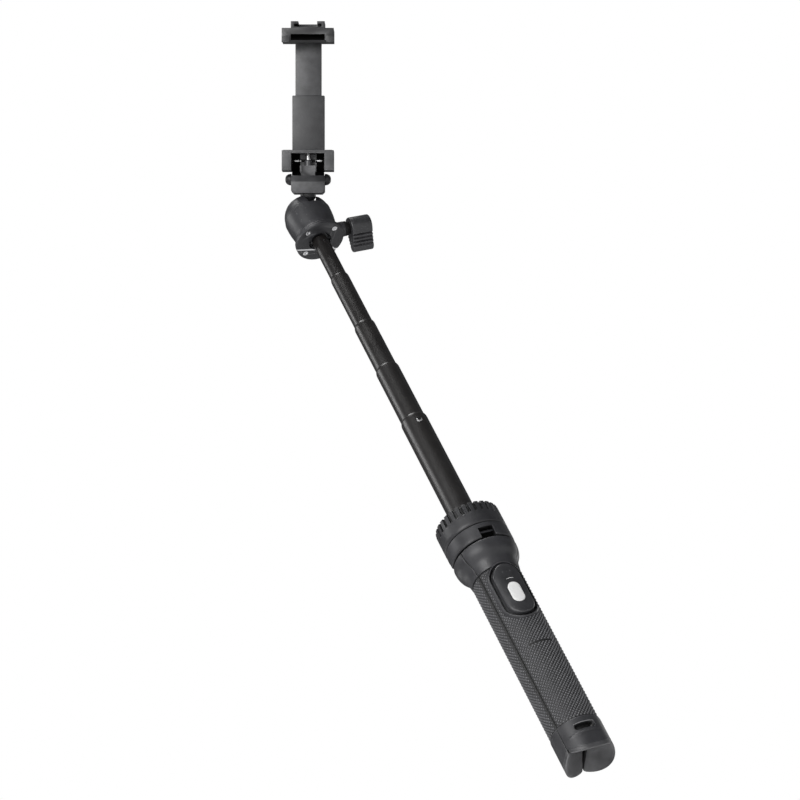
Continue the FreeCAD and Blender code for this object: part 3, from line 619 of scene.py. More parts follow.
def leg_cap(front):
    """Smooth end cap between the grip and the slanted foot, with the strap slot on the front leg."""
    angles, edge, soft = sector_angles(CAP_R, 0.45)
    rows = 42
    rings = []
    for angle in angles:
        drop = seam_drop(angle, edge, soft)
        ring = []
        for i in range(rows + 1):
            t = i / rows
            low = slant_z(CAP_R, angle, CAP_BASE)
            z = low + (CAP_TOP - low) * t
            radius = CAP_R - drop
            radius -= 0.25 * smooth_step(0.4, 0.0, z - low) + 0.2 * smooth_step(0.35, 0.0, CAP_TOP - z)
            if front:
                radius -= strap_dip(CAP_R * math.sin(angle), z)
            ring.append(polar(radius, angle, z))
        for z in (CAP_TOP, slant_z(LEG_IN_R, angle, CAP_BASE)):
            ring.append(polar(LEG_IN_R, angle, z))
        rings.append(ring)
    return skin(rings)


LIP_BEND_R = 2.1
LIP_STRAIGHT_HALF = 4.55
LIP_THICK = 0.24


def slot_lip():
    """Thin lip along the upper edge of the strap slot, drawn light grey as a painted highlight of the
    lit edge.
    """
    rings = []
    for share in np.linspace(0.0, 1.0, 33):
        turn = math.pi * (1.05 - 1.1 * share)
        along = max(-1.0, min(1.0, 2 * (share - 0.5) / 0.6))
        x = LIP_STRAIGHT_HALF * along + LIP_BEND_R * math.cos(turn)
        z = SLOT_Z + LIP_BEND_R * min(1.0, 1.9 * math.sin(turn))
        depth = math.sqrt(CAP_R ** 2 - x * x)
        size = LIP_THICK * math.sqrt(max(0.05, 1 - (2 * share - 1) ** 6))
        rings.append([(depth + size * math.cos(a), x, z + size * math.sin(a))
                      for a in np.linspace(0, 2 * math.pi, 8, endpoint=False)])
    return skin(rings)


def shoulder_profile():
    """Closed (r, z) section of a leg's shoulder, from the grip out to the hub's width."""
    outer = smooth_curve([(HANDLE_R - 0.05, SHOULDER_Z), (HANDLE_R + 0.55, SHOULDER_Z + 3.6),
                          (SHOULDER_R - 3.4, SHOULDER_Z + 7.0), (SHOULDER_R - 1.2, SHOULDER_Z + 10.4),
                          (SHOULDER_R - 0.25, SHOULDER_Z + 13.6), (SHOULDER_R, SHOULDER_TOP - 1.0)], 6)
    inner = LEG_IN_R
    return outer + [(SHOULDER_R - 0.12, SHOULDER_TOP - 0.45), (SHOULDER_R - 0.45, SHOULDER_TOP - 0.12),
                    (SHOULDER_R - 1.0, SHOULDER_TOP), (inner, SHOULDER_TOP), (inner, SHOULDER_Z - 2),
                    (HANDLE_R - 0.9, SHOULDER_Z - 2), (HANDLE_R - 0.9, SHOULDER_Z - 0.2)]


SKIN_MIN_R = 13.5


def leg_sector(profile, step=0.9):
    """A closed (r, z) profile swept across one leg's 120 degrees, with softened side edges."""
    angles, edge, soft = sector_angles(HANDLE_R, step)
    rings = []
    for angle in angles:
        drop = seam_drop(angle, edge, soft)
        rings.append([polar(r - drop if r > SKIN_MIN_R else r, angle, z) for r, z in profile])
    return skin(rings)


def dock_gap(x, z):
    """Distance outside the remote's outline, measured across the leg and along it."""
    half = REMOTE_W / 2
    straight = REMOTE_L / 2 - half
    dz = max(abs(z - REMOTE_Z) - straight, 0.0)
    return math.hypot(x, dz) - half


# diamond knurl of the grips: pitch along and across, and height
KNURL_PITCH = 2.4
KNURL_H = 0.66
GRIP_BASE = HANDLE_R - KNURL_H
GRIP_MIN_RISE = 0.10


def knurl(i, j):
    """Height share of a diamond knurl on a lattice of quarter pitches."""
    a = abs(((i + j) % 4) - 2) / 2
    b = abs(((i - j) % 4) - 2) / 2
    return min(a, b)


def leg_grip(front):
    """Diamond knurled rubber sleeve over one leg, fading out at its edges and round the dock."""
    step = KNURL_PITCH / 4
    half_arc = (LEG_HALF_TURN - SEAM_HALF / HANDLE_R) * HANDLE_R
    across = int(half_arc / step)
    rows = int((SHOULDER_Z - CAP_TOP - 0.3) / step)
    offset = 4 * ((across + 4) // 4)
    columns = [-half_arc] + [i * step for i in range(-across, across + 1)] + [half_arc]
    rings = []
    for c, arc in enumerate(columns):
        angle = arc / HANDLE_R
        i = c - 1 - across + offset
        side = smooth_step(0.5, 1.7, half_arc - abs(arc))
        ring = []
        for j in range(rows + 1):
            z = CAP_TOP + 0.15 + j * step
            ends = smooth_step(0.3, 1.4, min(z - CAP_TOP, SHOULDER_Z - z))
            fade = side * ends
            radius = GRIP_BASE + GRIP_MIN_RISE + (KNURL_H * knurl(i, j) - GRIP_MIN_RISE) * fade
            if front:
                radius = front_grip_radius(radius, angle, arc, z)
            radius -= 0.25 * smooth_step(0.5, 0.0, half_arc - abs(arc))
            radius -= 0.3 * (j in (0, rows))
            ring.append(polar(radius, angle, z))
        for z in (SHOULDER_Z - 0.1, CAP_TOP + 0.1):
            ring.append(polar(HANDLE_R - 1.4, angle, z))
        rings.append(ring)
    return skin(rings)


THUMB_GROOVE_Z = 81.0
THUMB_GROOVE_HALF = 8.2


def front_grip_radius(radius, angle, arc, z):
    """The front grip sinks under the dock's rim and carries a short cross groove."""
    x = HANDLE_R * math.sin(angle)
    sunk = smooth_step(2.7, 2.2, dock_gap(x, z))
    radius -= 3.0 * sunk
    middle = smooth_step(THUMB_GROOVE_HALF, 7.4, abs(arc))
    groove = smooth_step(0.75, 0.25, abs(z - THUMB_GROOVE_Z)) * middle
    return min(radius, HANDLE_R - 0.05 - 0.55 * groove) if groove > 0 else radius


# (inset, height) of the toe's outline, down its side and in under its sole
TOE_SIDE = [(0.0, FOOT_T), (0.0, 1.2), (0.12, 1.0)]
TOE_SOLE = [(0.14, 1.0), (0.38, 0.75), (0.8, 0.42), (1.4, 0.12), (2.2, 0.0), (4.0, 0.0)]


def leg_foot(levels):
    """Slanted toe, rounded in plan: its band, or its sole with a soft lower edge."""
    outline = rounded([(1.6, 0.0, 0.6), (7.9, -13.25, 2.6), (8.4, -13.5, 1.0)]
                      + [(CAP_R * math.cos(a), CAP_R * math.sin(a), 0.0)
                         for a in np.linspace(math.radians(-54), math.radians(54), 25)]
                      + [(8.4, 13.5, 1.0), (7.9, 13.25, 2.6)], 5)
    rings = []
    for inset, height in levels:
        rings.append([(x, y, (CAP_R - x) * FOOT_SLOPE + height)
                      for x, y in drawn_in(outline, (8.6, 0.0), inset)])
    return skin(rings)


def dock_rim():
    """Raised lip of the remote's dock and the dark moat inside it, swept round the remote."""
    # (distance outside the remote, radius)
    section = [(0.22, 12.2), (0.35, 12.6), (1.1, 12.9), (1.5, 14.0), (1.6, 15.6), (1.68, 16.5),
               (1.85, 16.82), (2.1, 16.9), (2.35, 16.8), (2.65, 16.3), (3.1, 15.6), (3.1, 14.6),
               (0.22, 11.6)]
    rings = []
    outline = stadium(REMOTE_W, REMOTE_L, 24)
    straight = REMOTE_L / 2 - REMOTE_W / 2
    for x, z in outline:
        core = np.array((0.0, max(-straight, min(straight, z))))
        normal = (np.array((x, z)) - core) / (REMOTE_W / 2)
        ring = []
        for out, radius in section:
            lateral = x + normal[0] * out
            depth = math.sqrt(max(radius ** 2 - lateral ** 2, 1.0))
            ring.append((depth, lateral, REMOTE_Z + z + normal[1] * out))
        rings.append(ring)
    return skin(rings, closed=True)


def knuckle():
    """Hinge knuckle that stands in the hub's window."""
    half, foot, top = 4.2, SHOULDER_TOP - 4.0, PIVOT_Z + 1.2
    inner, outer = PIVOT_R - 2.6, PIVOT_R - 0.7
    outline = rounded([(inner, foot, 0), (outer, foot, 0), (outer, top, 0.9), (inner, top, 0.9)], 8)
    return skin([[(x, y, z) for x, z in outline] for y in (-half, half)])


def build_legs():
    for name, angle in LEG_ANGLES.items():
        front = name == "front"
        body = "leg_" + name
        place = turn_z(angle)
        shell = LOOKS["shell_plastic"]
        mesh_piece(body + "_shoulder", leg_sector(shoulder_profile()), shell, body,
                   (body + "_shell",), place, 40)
        mesh_piece(body + "_cap", leg_cap(front), LOOKS["cap_plastic"], body, (), place, 40)
        # the knuckle is drawn near-black as painted shade in its window
        mesh_piece(body + "_knuckle", knuckle(), LOOKS["window_black"], body, (), place)
        mesh_piece(body + "_grip_skin", leg_grip(front), LOOKS["grip_rubber"], body,
                   (body + "_grip",), place, 28)
        # the toe's side band is drawn darker than its sole: painted shade
        mesh_piece(body + "_toe_band", leg_foot(TOE_SIDE), LOOKS["foot_band"], body,
                   (body + "_foot",), place, 50)
        mesh_piece(body + "_toe_sole", leg_foot(TOE_SOLE), LOOKS["foot_rubber"], body, (), place, 50)
        core = [(LEG_IN_R, CAP_TOP - 2), (GRIP_IN_R, CAP_TOP - 2), (GRIP_IN_R, SHOULDER_Z + 1),
                (LEG_IN_R, SHOULDER_Z + 1)]
        if front:
            mesh_piece(body + "_dock", dock_rim(), shell, body, (), place, 50)
            # light grey lip on the slot's upper edge: painted highlight
            mesh_piece(body + "_slot_lip", slot_lip(), LOOKS["slot_lip"], body, (), place, 50)
        mesh_piece(body + "_frame", leg_sector(core, 3.0), LOOKS["inner_plastic"], body, (), place)


build_legs()


# ---- remote ----
def remote_ring(inset, radius=None, flat=None):
    """Remote outline drawn in by an inset, laid on a cylinder or on a flat plane."""
    ring = []
    for x, z in stadium(REMOTE_W - 2 * inset, REMOTE_L - 2 * inset, 20):
        depth = flat if flat is not None else math.sqrt(radius ** 2 - x ** 2)
        ring.append((depth, x, REMOTE_Z + z))
    return ring


def remote_case():
    """Remote's case: flat underneath, domed on top, with a rounded upper edge."""
    rings = [remote_ring(0.3, flat=13.15), remote_ring(0.0, flat=13.45)]
    rings += [remote_ring(inset, REMOTE_R - drop) for inset, drop in
              ((0.0, 1.0), (0.08, 0.65), (0.3, 0.32), (0.65, 0.12), (1.2, 0.03))]
    rings += [remote_ring(inset, REMOTE_R) for inset in (3.2, 4.6, 6.0, 7.4, 8.6)]
    return skin(rings)


def shutter_button():
    """Silver button: pairs of inset and radius up its side and in over its top."""
    rings = []
    for inset, radius in ((0.0, 16.8), (0.0, 17.95), (0.12, 18.15), (0.4, 18.3), (0.9, 18.36),
                          (2.0, 18.36), (3.0, 18.34), (3.9, 18.32)):
        rings.append([(math.sqrt(radius ** 2 - x ** 2), x, BUTTON_Z + z)
                      for x, z in stadium(BUTTON_W - 2 * inset, BUTTON_L - 2 * inset, 16)])
    return skin(rings)


def cut_with(piece, geometry, place):
    """Cuts a closed shape out of a piece's mesh."""
    mesh = closed_mesh("cutter", geometry)
    mesh.transform(place)
    cutter = add_object("cutter", mesh)
    cut = piece.modifiers.new("cut", "BOOLEAN")
    cut.operation = "DIFFERENCE"
    cut.solver = "EXACT"
    cut.object = cutter
    done = evaluated_mesh(piece)
    piece.modifiers.clear()
    old = piece.data
    piece.data = done
    bpy.data.meshes.remove(old)
    bpy.data.objects.remove(cutter)


ARC_Z = 128.7
ARC_REACH = 2.6
ARC_SAG = 0.45
ARC_HALF_W = 0.15
ARC_HEIGHT = 0.10


def raised_arc_highlight():
    """Thin moulded arc on the remote's face, above the button; its silver colour is a painted highlight
    of the lit ridge.
    """
    rings = []
    for s in range(25):
        t = s / 24 * 2 - 1
        x = ARC_REACH * t
        depth = math.sqrt(REMOTE_R ** 2 - x ** 2)
        taper = math.sqrt(max(0.02, 1 - t * t))
        rings.append([(depth + ARC_HEIGHT * math.cos(a) * taper, x,
                       ARC_Z - ARC_SAG * t * t + ARC_HALF_W * taper * math.sin(a))
                      for a in np.linspace(0, 2 * math.pi, 8, endpoint=False)])
    return skin(rings)


def build_remote():
    place = turn_z(LEG_ANGLES["front"])
    case = mesh_piece("remote_shell", remote_case(), LOOKS["remote_plastic"], "remote",
                      ("remote_case",), place, 30)
    outline = stadium(BUTTON_W + 0.5, BUTTON_L + 0.5, 16)
    hole = skin([[(depth, x, BUTTON_Z + z) for x, z in outline] for depth in (15.6, 22.0)])
    cut_with(case, hole, place)
    mesh_piece("shutter_button_cap", shutter_button(), LOOKS["button_silver"], "button",
               ("shutter_button",), place, 40)
    # button silver on the moulded arc: painted highlight
    mesh_piece("remote_arc_highlight", raised_arc_highlight(), LOOKS["button_silver"], "remote", (), place)


build_remote()


# ---- hub and lock ring ----
WINDOW_HALF = 4.75
WINDOW_TOP = 168.3


def hub_columns():
    """Angles round the hub, close together at the sides of the three windows."""
    half = math.asin(WINDOW_HALF / HUB_R)
    angles = []
    for degrees in LEG_ANGLES.values():
        middle = math.radians(degrees)
        for side in (-1, 1):
            for offset in (-0.012, -0.004, 0.004, 0.012):
                angles.append(middle + side * half + offset)
    angles += [2 * math.pi * i / 120 - math.pi for i in range(120)]
    angles = sorted(a % (2 * math.pi) for a in angles)
    kept = [angles[0]]
    for a in angles[1:]:
        if a - kept[-1] > 0.0035:
            kept.append(a)
    return kept


def window_share(angle, z):
    """1 inside a hinge window of the collar, 0 outside."""
    best = min(abs((angle - math.radians(degrees) + math.pi) % (2 * math.pi) - math.pi)
               for degrees in LEG_ANGLES.values())
    side = smooth_step(WINDOW_HALF + 0.1, WINDOW_HALF - 0.1, HUB_R * math.sin(best))
    return side * smooth_step(WINDOW_TOP + 0.12, WINDOW_TOP - 0.12, z)


WINDOW_DEPTH = 6.0
RIM_ROUNDING = 0.6


def hub_collar():
    """Hub's collar with its three hinge windows."""
    outer_z = [HUB_Z0, HUB_Z0 + 0.15, HUB_Z0 + 0.4, 163, 164.5, 166, 167.4, 168.0, 168.18, 168.3,
               168.42, 168.6, 169.6, 170.6, HUB_Z1 - 0.5, HUB_Z1 - 0.2, HUB_Z1]
    rings = []
    for angle in hub_columns():
        ring = [polar(15.0, angle, HUB_Z1), polar(15.0, angle, HUB_Z0)]
        for z in outer_z:
            edge = min(z - HUB_Z0, HUB_Z1 - z)
            radius = HUB_R - RIM_ROUNDING * smooth_step(0.6, 0.0, edge)
            ring.append(polar(radius - WINDOW_DEPTH * window_share(angle, z), angle, z))
        rings.append(ring)
    return skin(rings, closed=True)


RING_SLOT_DEPTH = 1.45


def knurled_radius(angle, z):
    """Outer radius of the lock ring: slots open at the top edge, plain below."""
    share = (angle * KNURLS / (2 * math.pi)) % 1.0
    x = (share - 0.5) * 2 * math.pi * RING_R / KNURLS
    slot = smooth_step(1.05, 0.75, abs(x)) * smooth_step(RING_Z1 - 7.3, RING_Z1 - 6.6, z)
    edge = min(z - RING_Z0, RING_Z1 - z)
    return RING_R - RING_SLOT_DEPTH * slot - RIM_ROUNDING * smooth_step(0.75, 0.0, edge) ** 2


def lock_ring():
    """Lock ring: columns bunched at the sides of each slot, rows at its lower end."""
    shares = (0.0, 0.16, 0.26, 0.29, 0.32, 0.35, 0.5, 0.65, 0.68, 0.71, 0.74, 0.84)
    outer_z = [RING_Z0, RING_Z0 + 0.12, RING_Z0 + 0.35, RING_Z0 + 0.7, 175, 177.5, 180]
    outer_z += [RING_Z1 - down for down in (7.4, 7.2, 7.0, 6.8, 6.6, 6.0)] + [184.5, 186.5]
    outer_z += [RING_Z1 - down for down in (0.8, 0.45, 0.2, 0.05, 0.0)]
    inner = [(RING_RIM_R + 0.3, RING_Z1), (RING_RIM_R, RING_Z1 - 0.3), (RING_RIM_R, 185.7),
             (12.1, 185.7), (12.1, 181.3), (16.1, 181.3), (16.1, RING_Z0)]
    rings = []
    for k in range(KNURLS):
        for share in shares:
            angle = 2 * math.pi * (k + share) / KNURLS
            outer = [(knurled_radius(angle, z), z) for z in outer_z]
            rings.append([polar(r, angle, z) for r, z in outer + inner])
    return skin(rings, closed=True)


def build_hub():
    mesh_piece("hub_collar", hub_collar(), LOOKS["hub_plastic"], "hub", ("hub_body",), None, 30)
    neck = [(9.55, HUB_Z0), (15.2, HUB_Z0), (15.2, HUB_Z1 - 0.1), (16.0, HUB_Z1 - 0.1), (16.0, 181.0),
            (12.0, 181.0), (12.0, 185.9), (9.55, 185.9)]
    # the neck is drawn near-black as painted shade at the back of the windows
    mesh_piece("hub_neck", lathe(neck), LOOKS["window_black"], "hub")
    mesh_piece("lock_ring_skin", lock_ring(), LOOKS["ring_plastic"], "lock_ring", ("lock_ring",),
               None, 30)
    for node, r0, r1, z0, z1, soft0, soft1 in (("ring_clip", 9.55, 15.5, 186.0, 187.1, 0.2, 0.35),
                                               ("hub_sleeve", 8.95, 9.5, 158.0, 188.2, 0.1, 0.2)):
        section = rounded([(r0, z0, soft0), (r1, z0, soft0), (r1, z1, soft1), (r0, z1, soft1)], 3)
        mesh_piece(node + "_skin", lathe(section), LOOKS["inner_plastic"], "hub", (node,))


build_hub()


# ---- pole ----
def tube_profile(index):
    """Closed (r, z) section of one tube, with a rolled-in upper end round the next tube."""
    radius = TUBE_R[index]
    top = TUBE_TOP[index]
    bottom = top - TUBE_L[index]
    bore = radius - TUBE_WALL
    last = index == len(TUBE_R) - 1
    neck = bore if last else TUBE_R[index + 1] + 0.06
    return [(bore, bottom), (radius, bottom), (radius, top - 2.6), (radius - 0.03, top - 1.9),
            (radius - 0.13, top - 1.25), (radius - 0.30, top - 0.65), (radius - 0.48, top - 0.22),
            (radius - 0.62, top - 0.05), (max(radius - 0.72, neck + 0.03), top), (neck, top - 0.12),
            (neck, top - 6.0), (bore, top - 6.5)]


EYE_Z = 270.5
# offset of the dark disc that paints shade over the screw face
EYE_SHADE_SHIFT = -0.55
TIP_PIN_Z = 441.5


def front_place(index, z):
    """Place on the front of a tube, whose Z axis points out of the tube."""
    turn = turn_z(-90) @ Matrix.Rotation(math.radians(90), 4, "Y")
    return Matrix.Translation(Vector((0, -TUBE_R[index] * MM, z * MM))) @ turn


def build_pole():
    for index in range(len(TUBE_R)):
        node = "tube_%d" % (index + 1)
        mesh_piece(node + "_skin", lathe(tube_profile(index), 128), LOOKS["tube_black"], node,
                   (node,), None, 30)
    place = front_place(0, EYE_Z)
    ring = rounded([(1.9, -0.5, 0), (2.15, -0.5, 0), (2.15, 0.10, 0.1), (1.9, 0.12, 0.08)], 3)
    mesh_piece("tube_eye_rim", lathe(ring, 40), LOOKS["tube_black"], "tube_1", (), place)
    face = [(0.0, -0.6), (1.88, -0.6), (1.88, -0.16), (1.7, -0.02), (1.2, 0.04), (0.0, 0.06)]
    mesh_piece("tube_eye", lathe(face, 40), LOOKS["spring_steel"], "tube_1", ("tube_screw",), place)
    # dark disc set off-centre over the screw face: painted shade, leaving a lit crescent of steel below
    eye_shade_place = place @ Matrix.Translation(Vector((EYE_SHADE_SHIFT * MM, 0, 0)))
    socket = [(0.0, -0.3), (1.32, -0.3), (1.32, 0.10), (1.2, 0.12), (0.0, 0.09)]
    mesh_piece("tube_eye_socket", lathe(socket, 32), LOOKS["inner_plastic"], "tube_1", (), eye_shade_place)
    pin = [(0.0, -0.3), (0.55, -0.3), (0.55, -0.02), (0.4, 0.02), (0.0, 0.04)]
    mesh_piece("tip_pin", lathe(pin, 24), LOOKS["chrome_steel"], "tube_5", (),
               front_place(4, TIP_PIN_Z))


build_pole()


# ---- ball head ----
def build_head():
    cast_piece("head_housing", LOOKS["shell_plastic"], 0.30, 5)
    cast_piece("ball_cap", LOOKS["shell_plastic"], 0.28, 4)
    for node in ("base_plate_large", "base_plate_small"):
        bevelled(node, LOOKS["shell_plastic"], 0.22)
    bevelled("base_screws", LOOKS["chrome_steel"], 0.08)
    bevelled("lever_collar", LOOKS["inner_plastic"], 0.25)


RIDGE_DEPTH = 1.3
RIDGE_PITCH = 0.19
LEVER_TURN = math.radians(45)


def lever_outline():
    """Teardrop about the shaft, pointing along -Z, with four ridges on each flank."""
    hub_r, tip_r, reach = 7.0, 3.2, 17.0
    tip_z = -(reach - tip_r)
    lean = math.asin((hub_r - tip_r) / -tip_z)
    out = []
    arc = np.linspace(-lean, math.pi + lean, 33)
    out += [(hub_r * math.cos(a), hub_r * math.sin(a)) for a in arc]
    start = np.array(out[-1])
    end = np.array((-tip_r * math.cos(lean), tip_z - tip_r * math.sin(lean)))
    out += ridged_flank(start, end, -1)
    arc = np.linspace(math.pi + lean, 2 * math.pi - lean, 17)
    out += [(tip_r * math.cos(a), tip_z + tip_r * math.sin(a)) for a in arc]
    start = np.array((tip_r * math.cos(lean), tip_z - tip_r * math.sin(lean)))
    out += ridged_flank(start, np.array(out[0]), 1)
    return out


def ridged_flank(start, end, side):
    """Points between two ends of a flank, dipping between ridges."""
    along = end - start
    length = np.linalg.norm(along)
    out_dir = np.array((along[1], -along[0])) / length
    points = []
    count = 60
    for s in range(1, count):
        t = s / count
        from_hub = t if side < 0 else 1 - t
        inside = smooth_step(0.16, 0.22, from_hub) * smooth_step(0.99, 0.93, from_hub)
        wave = 0.5 - 0.5 * math.cos(2 * math.pi * (from_hub - RIDGE_PITCH) / RIDGE_PITCH)
        points.append(tuple(start + along * t - out_dir * RIDGE_DEPTH * inside * wave ** 2.5))
    return points


def build_lever():
    """Lock lever: its outline swept along the shaft, with rounded edges at both ends."""
    x0, x1, edge = 23.8, 38.6, 0.8
    outline = lever_outline()
    rings = []
    for x, inset in ((x0, edge), (x0 + 0.12, edge * 0.5), (x0 + edge * 0.5, 0.12), (x0 + edge, 0.0),
                     (x1 - edge, 0.0), (x1 - edge * 0.5, 0.12), (x1 - 0.12, edge * 0.5), (x1, edge)):
        rings.append([(x, y, z) for y, z in drawn_in(outline, (0.0, -5.0), inset)])
    place = Matrix.Translation(Vector((0, 0, SHAFT_Z * MM))) @ Matrix.Rotation(LEVER_TURN, 4, "X")
    mesh_piece("lock_lever_skin", skin(rings), LOOKS["lever_plastic"], "lever", ("lock_lever",),
               place, 40)


build_head()
build_lever()


# ---- clamp ----
FOLD_HEAD_X = 11.35
WASHER_X = 4.95
STEM_R = 5.3
STEM_PIN_R = 3.0


def sideways(side, x, y, z):
    """Place in the clamp whose Z axis points out to one side."""
    spot = Matrix.Translation(Vector((side * x * MM, y * MM, z * MM)))
    return CLAMP @ (spot @ Matrix.Rotation(side * math.pi / 2, 4, "Y"))


def rod(radius, z0, z1, edge):
    """Closed (r, z) section of a round bar with a softened rim."""
    return rounded([(0.0, z0, 0), (radius, z0, edge[0]), (radius, z1, edge[1]), (0.0, z1, 0)], 3)


def build_jaws():
    for node, width in (("clamp_block", 0.3), ("lower_jaw", 0.3), ("upper_jaw", 0.3),
                        ("cold_shoe", 0.25), ("lower_spine", 0.4), ("upper_spine", 0.3)):
        bevelled(node, LOOKS["clamp_plastic"], width, CLAMP, 3)
    for node in ("lower_pad", "upper_pad"):
        bevelled(node, LOOKS["pad_rubber"], 0.2, CLAMP)


def build_centre_rod():
    """Rod between the jaws, its neck on the web and the stepped pin that crosses it: the pin drawn dark
    as painted shade, with short steel bars on it as painted highlights.
    """
    steel = LOOKS["spring_steel"]
    for side, side_name in ((-1, "left"), (1, "right")):
        # steel bars only where the pin catches the light: painted highlights
        for name, x0, x1 in (("long", 6.0, 9.3), ("short", 4.9, 5.5)):
            bar = lathe(rod(0.88, 0.0, x1 - x0, (0.15, 0.15)), 24)
            mesh_piece("pin_%s_%s" % (name, side_name), bar, steel, "clamp", (),
                       sideways(side, x0, PIN_Y, PIN_Z))
    # the cross pin drawn dark: painted shade
    bevelled("cross_pin", LOOKS["inner_plastic"], 0.05, CLAMP)
    mesh_piece("centre_post", lathe(rod(1.62, ROD_Z0, JAW_Z1 - 2.4, (0.1, 0.1)), 40), steel, "clamp",
               ("centre_rod",), CLAMP)
    mesh_piece("web_neck", lathe(rod(2.5, WEB_TOP - 0.5, ROD_Z0 + 0.2, (0, 0.5)), 40),
               LOOKS["lever_plastic"], "clamp", (), CLAMP)


def build_stud():
    """Ball and its stem."""
    profile = [(0.0, -BALL_R)]
    profile += [(BALL_R * math.cos(a), BALL_R * math.sin(a))
                for a in np.linspace(math.radians(-88), math.radians(71.5), 64)]
    profile += [(4.05, 12.25), (5.15, 13.9), (STEM_R, 14.2), (STEM_R, 16.4), (STEM_PIN_R, 16.4),
                (STEM_PIN_R, 21.0), (0.0, 21.0)]
    mesh_piece("ball_stud_skin", lathe(profile, 96), LOOKS["ball_black"], "stud", ("ball_stud",), CLAMP)


def build_fold_heads():
    """Domed heads of the fold bolt and its nut, and the washers beside the clamp's web."""
    radius, height = 3.95, 4.2
    head = [(0.0, 0.0), (radius, 0.0)]
    head += [(radius * math.cos(a) ** 0.8, height * math.sin(a) ** 0.9)
             for a in np.linspace(0.02, math.pi / 2 - 0.02, 14)]
    head.append((0.0, height))
    washer = rounded([(1.7, 0.0, 0), (5.1, 0.0, 0.1), (5.1, 0.65, 0.1), (1.7, 0.65, 0)], 3)
    for side, name, node in ((-1, "fold_bolt_head", "pivot_bolt"), (1, "fold_nut_head", "pivot_nut")):
        mesh_piece(name, lathe(head, 48), LOOKS["ball_black"], "clamp_base", (node,),
                   sideways(side, FOLD_HEAD_X, 0, FOLD_Z), 50)
        mesh_piece(name + "_washer", lathe(washer, 48), LOOKS["inner_plastic"], "clamp_base", (),
                   sideways(side, WASHER_X, 0, FOLD_Z), 40)


build_jaws()
build_centre_rod()
build_stud()
build_fold_heads()


# ---- finishes for CAD nodes that stay ----
def dress_cad_nodes():
    """Gives the CAD nodes that are not replaced the finish of their material slot."""
    finishes = {part["node"]: part["material_slot"] for part in frame["record"]["subparts"]}
    for name, node in frame["nodes"].items():
        if node.hide_render:
            continue
        look = LOOKS[name if name in LOOKS else finishes[name]]
        node.data.materials.clear()
        node.data.materials.append(look["material"])


dress_cad_nodes()


# ---- studio ----
AXIS_POINT = Vector((0, 0, 0.294))
VIEW_DIR = Vector((0.343, 0.729, 0.592)).normalized()
VIEW_UP = Vector((0.193, -0.673, 0.7145)).normalized()
VIEW_RIGHT = VIEW_DIR.cross(VIEW_UP)
DISTANCE = 1.802
TARGET = AXIS_POINT - VIEW_RIGHT * 0.00245
LENS = 126.0
SENSOR = 36.0
FLOOR_LEVEL = -0.0005
FLOOR_GLOW = 0.45
WORLD_GLOW = 0.13


def build_camera():
    data = bpy.data.cameras.new("camera")
    data.lens = LENS
    data.sensor_width = SENSOR
    data.clip_start = 0.05
    data.clip_end = 50.0
    camera = add_object("camera", data)
    rotation = Matrix((VIEW_RIGHT, VIEW_UP, -VIEW_DIR)).transposed().to_4x4()
    rotation.translation = TARGET - VIEW_DIR * DISTANCE
    camera.matrix_world = rotation
    bpy.context.scene.camera = camera


def area_light(name, direction, distance, size, power, height=None, aim=AXIS_POINT):
    """Soft box that looks at a point of the stick; a disk, or a strip when height is given."""
    data = bpy.data.lights.new(name, "AREA")
    data.shape = "RECTANGLE" if height else "DISK"
    data.size = size
    data.size_y = height or size
    data.energy = power
    light = add_object(name, data)
    direction = direction.normalized()
    light.location = aim + direction * distance
    light.rotation_mode = "QUATERNION"
    light.rotation_quaternion = direction.to_track_quat("Z", "Y")
    light.visible_camera = False


def build_world():
    """White for the camera, a gentler grey for lighting."""
    world = bpy.data.worlds.new("studio")
    world.use_nodes = True
    tree = world.node_tree
    tree.nodes.clear()
    out = tree.nodes.new("ShaderNodeOutputWorld")
    mix = tree.nodes.new("ShaderNodeMixShader")
    rays = tree.nodes.new("ShaderNodeLightPath")
    tree.links.new(rays.outputs["Is Camera Ray"], mix.inputs["Fac"])
    for slot, color, strength in ((1, (0.95, 0.97, 1.0), WORLD_GLOW), (2, (1.0, 1.0, 1.0), 1.0)):
        sky = tree.nodes.new("ShaderNodeBackground")
        sky.inputs["Color"].default_value = (*color, 1.0)
        sky.inputs["Strength"].default_value = strength
        tree.links.new(sky.outputs["Background"], mix.inputs[slot])
    tree.links.new(mix.outputs["Shader"], out.inputs["Surface"])
    bpy.context.scene.world = world


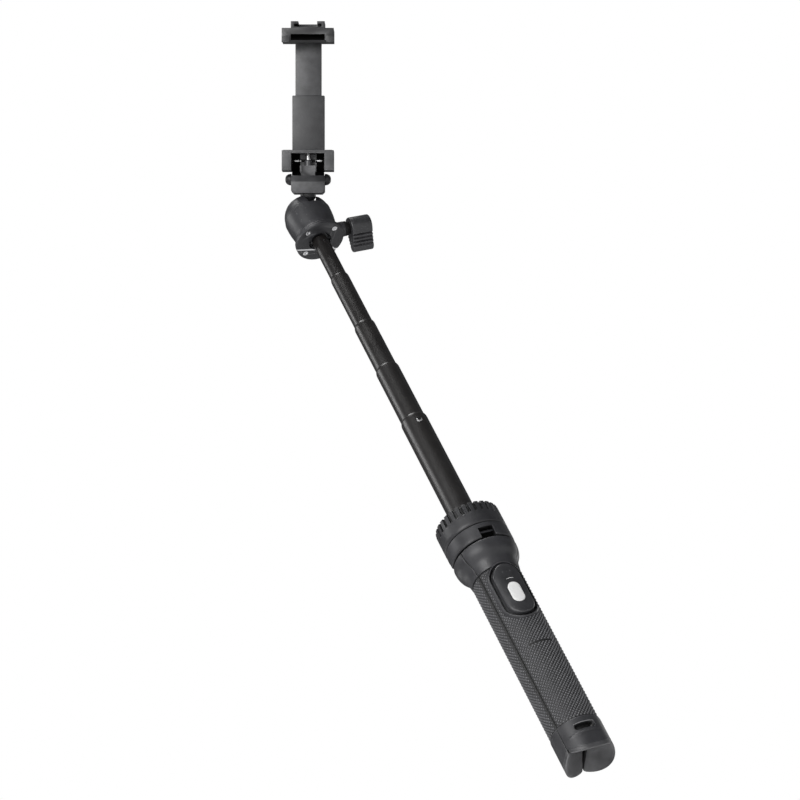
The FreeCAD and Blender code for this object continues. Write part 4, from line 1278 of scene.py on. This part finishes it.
def build_floor():
    """Pale floor just under the feet; clear from below and to light, lifted for the camera."""
    half = 3.0
    mesh = bpy.data.meshes.new("floor")
    mesh.from_pydata([(x, y, FLOOR_LEVEL) for x, y in
                      ((-half, -half), (half, -half), (half, half), (-half, half))], [], [(0, 1, 2, 3)])
    floor = add_object("floor", mesh)
    material = bpy.data.materials.new("floor_paper")
    material.use_nodes = True
    tree = material.node_tree
    shader = tree.nodes["Principled BSDF"]
    shader.inputs["Base Color"].default_value = (0.86, 0.86, 0.86, 1.0)
    shader.inputs["Roughness"].default_value = 0.85
    clear = tree.nodes.new("ShaderNodeBsdfTransparent")
    mix = tree.nodes.new("ShaderNodeMixShader")
    facing = tree.nodes.new("ShaderNodeNewGeometry")
    rays = tree.nodes.new("ShaderNodeLightPath")
    clear_side = math_node(tree, "MAXIMUM", facing.outputs["Backfacing"], rays.outputs["Is Shadow Ray"])
    tree.links.new(clear_side, mix.inputs["Fac"])
    shader.inputs["Emission Color"].default_value = (1.0, 1.0, 1.0, 1.0)
    glow = math_node(tree, "MULTIPLY", rays.outputs["Is Camera Ray"], FLOOR_GLOW)
    tree.links.new(glow, shader.inputs["Emission Strength"])
    tree.links.new(shader.outputs["BSDF"], mix.inputs[1])
    tree.links.new(clear.outputs["BSDF"], mix.inputs[2])
    tree.links.new(mix.outputs["Shader"], tree.nodes["Material Output"].inputs["Surface"])
    mesh.materials.append(material)


def build_studio():
    build_camera()
    build_world()
    build_floor()
    beside_camera = -VIEW_DIR * 0.9 + VIEW_RIGHT * 0.9 + VIEW_UP * 0.2
    area_light("key", Vector((-0.75, -0.85, 0.02)), distance=1.6, size=0.7, power=20.0)
    area_light("fill", beside_camera, distance=1.8, size=1.0, power=3.0)
    area_light("sole", Vector((-0.45, -0.5, -0.75)), distance=0.45, size=0.12, power=0.5,
               aim=Vector((0, 0, 0.01)))
    area_light("strip", Vector((-0.775, 0.215, 0.592)), distance=1.6, size=0.6, power=5.5,
               height=0.3, aim=Vector((0, 0, 0.34)))
    area_light("top", Vector((-0.1, -0.3, 1.0)), distance=1.8, size=0.9, power=20.0)
    area_light("back", Vector((0.9, 0.5, 0.15)), distance=1.8, size=1.0, power=4.0)
    area_light("rear", Vector((-0.62, 0.78, 0.0)), distance=1.8, size=1.0, power=5.0)
    bpy.context.scene.view_settings.view_transform = "Standard"
    bpy.context.scene.view_settings.look = "None"


build_studio()
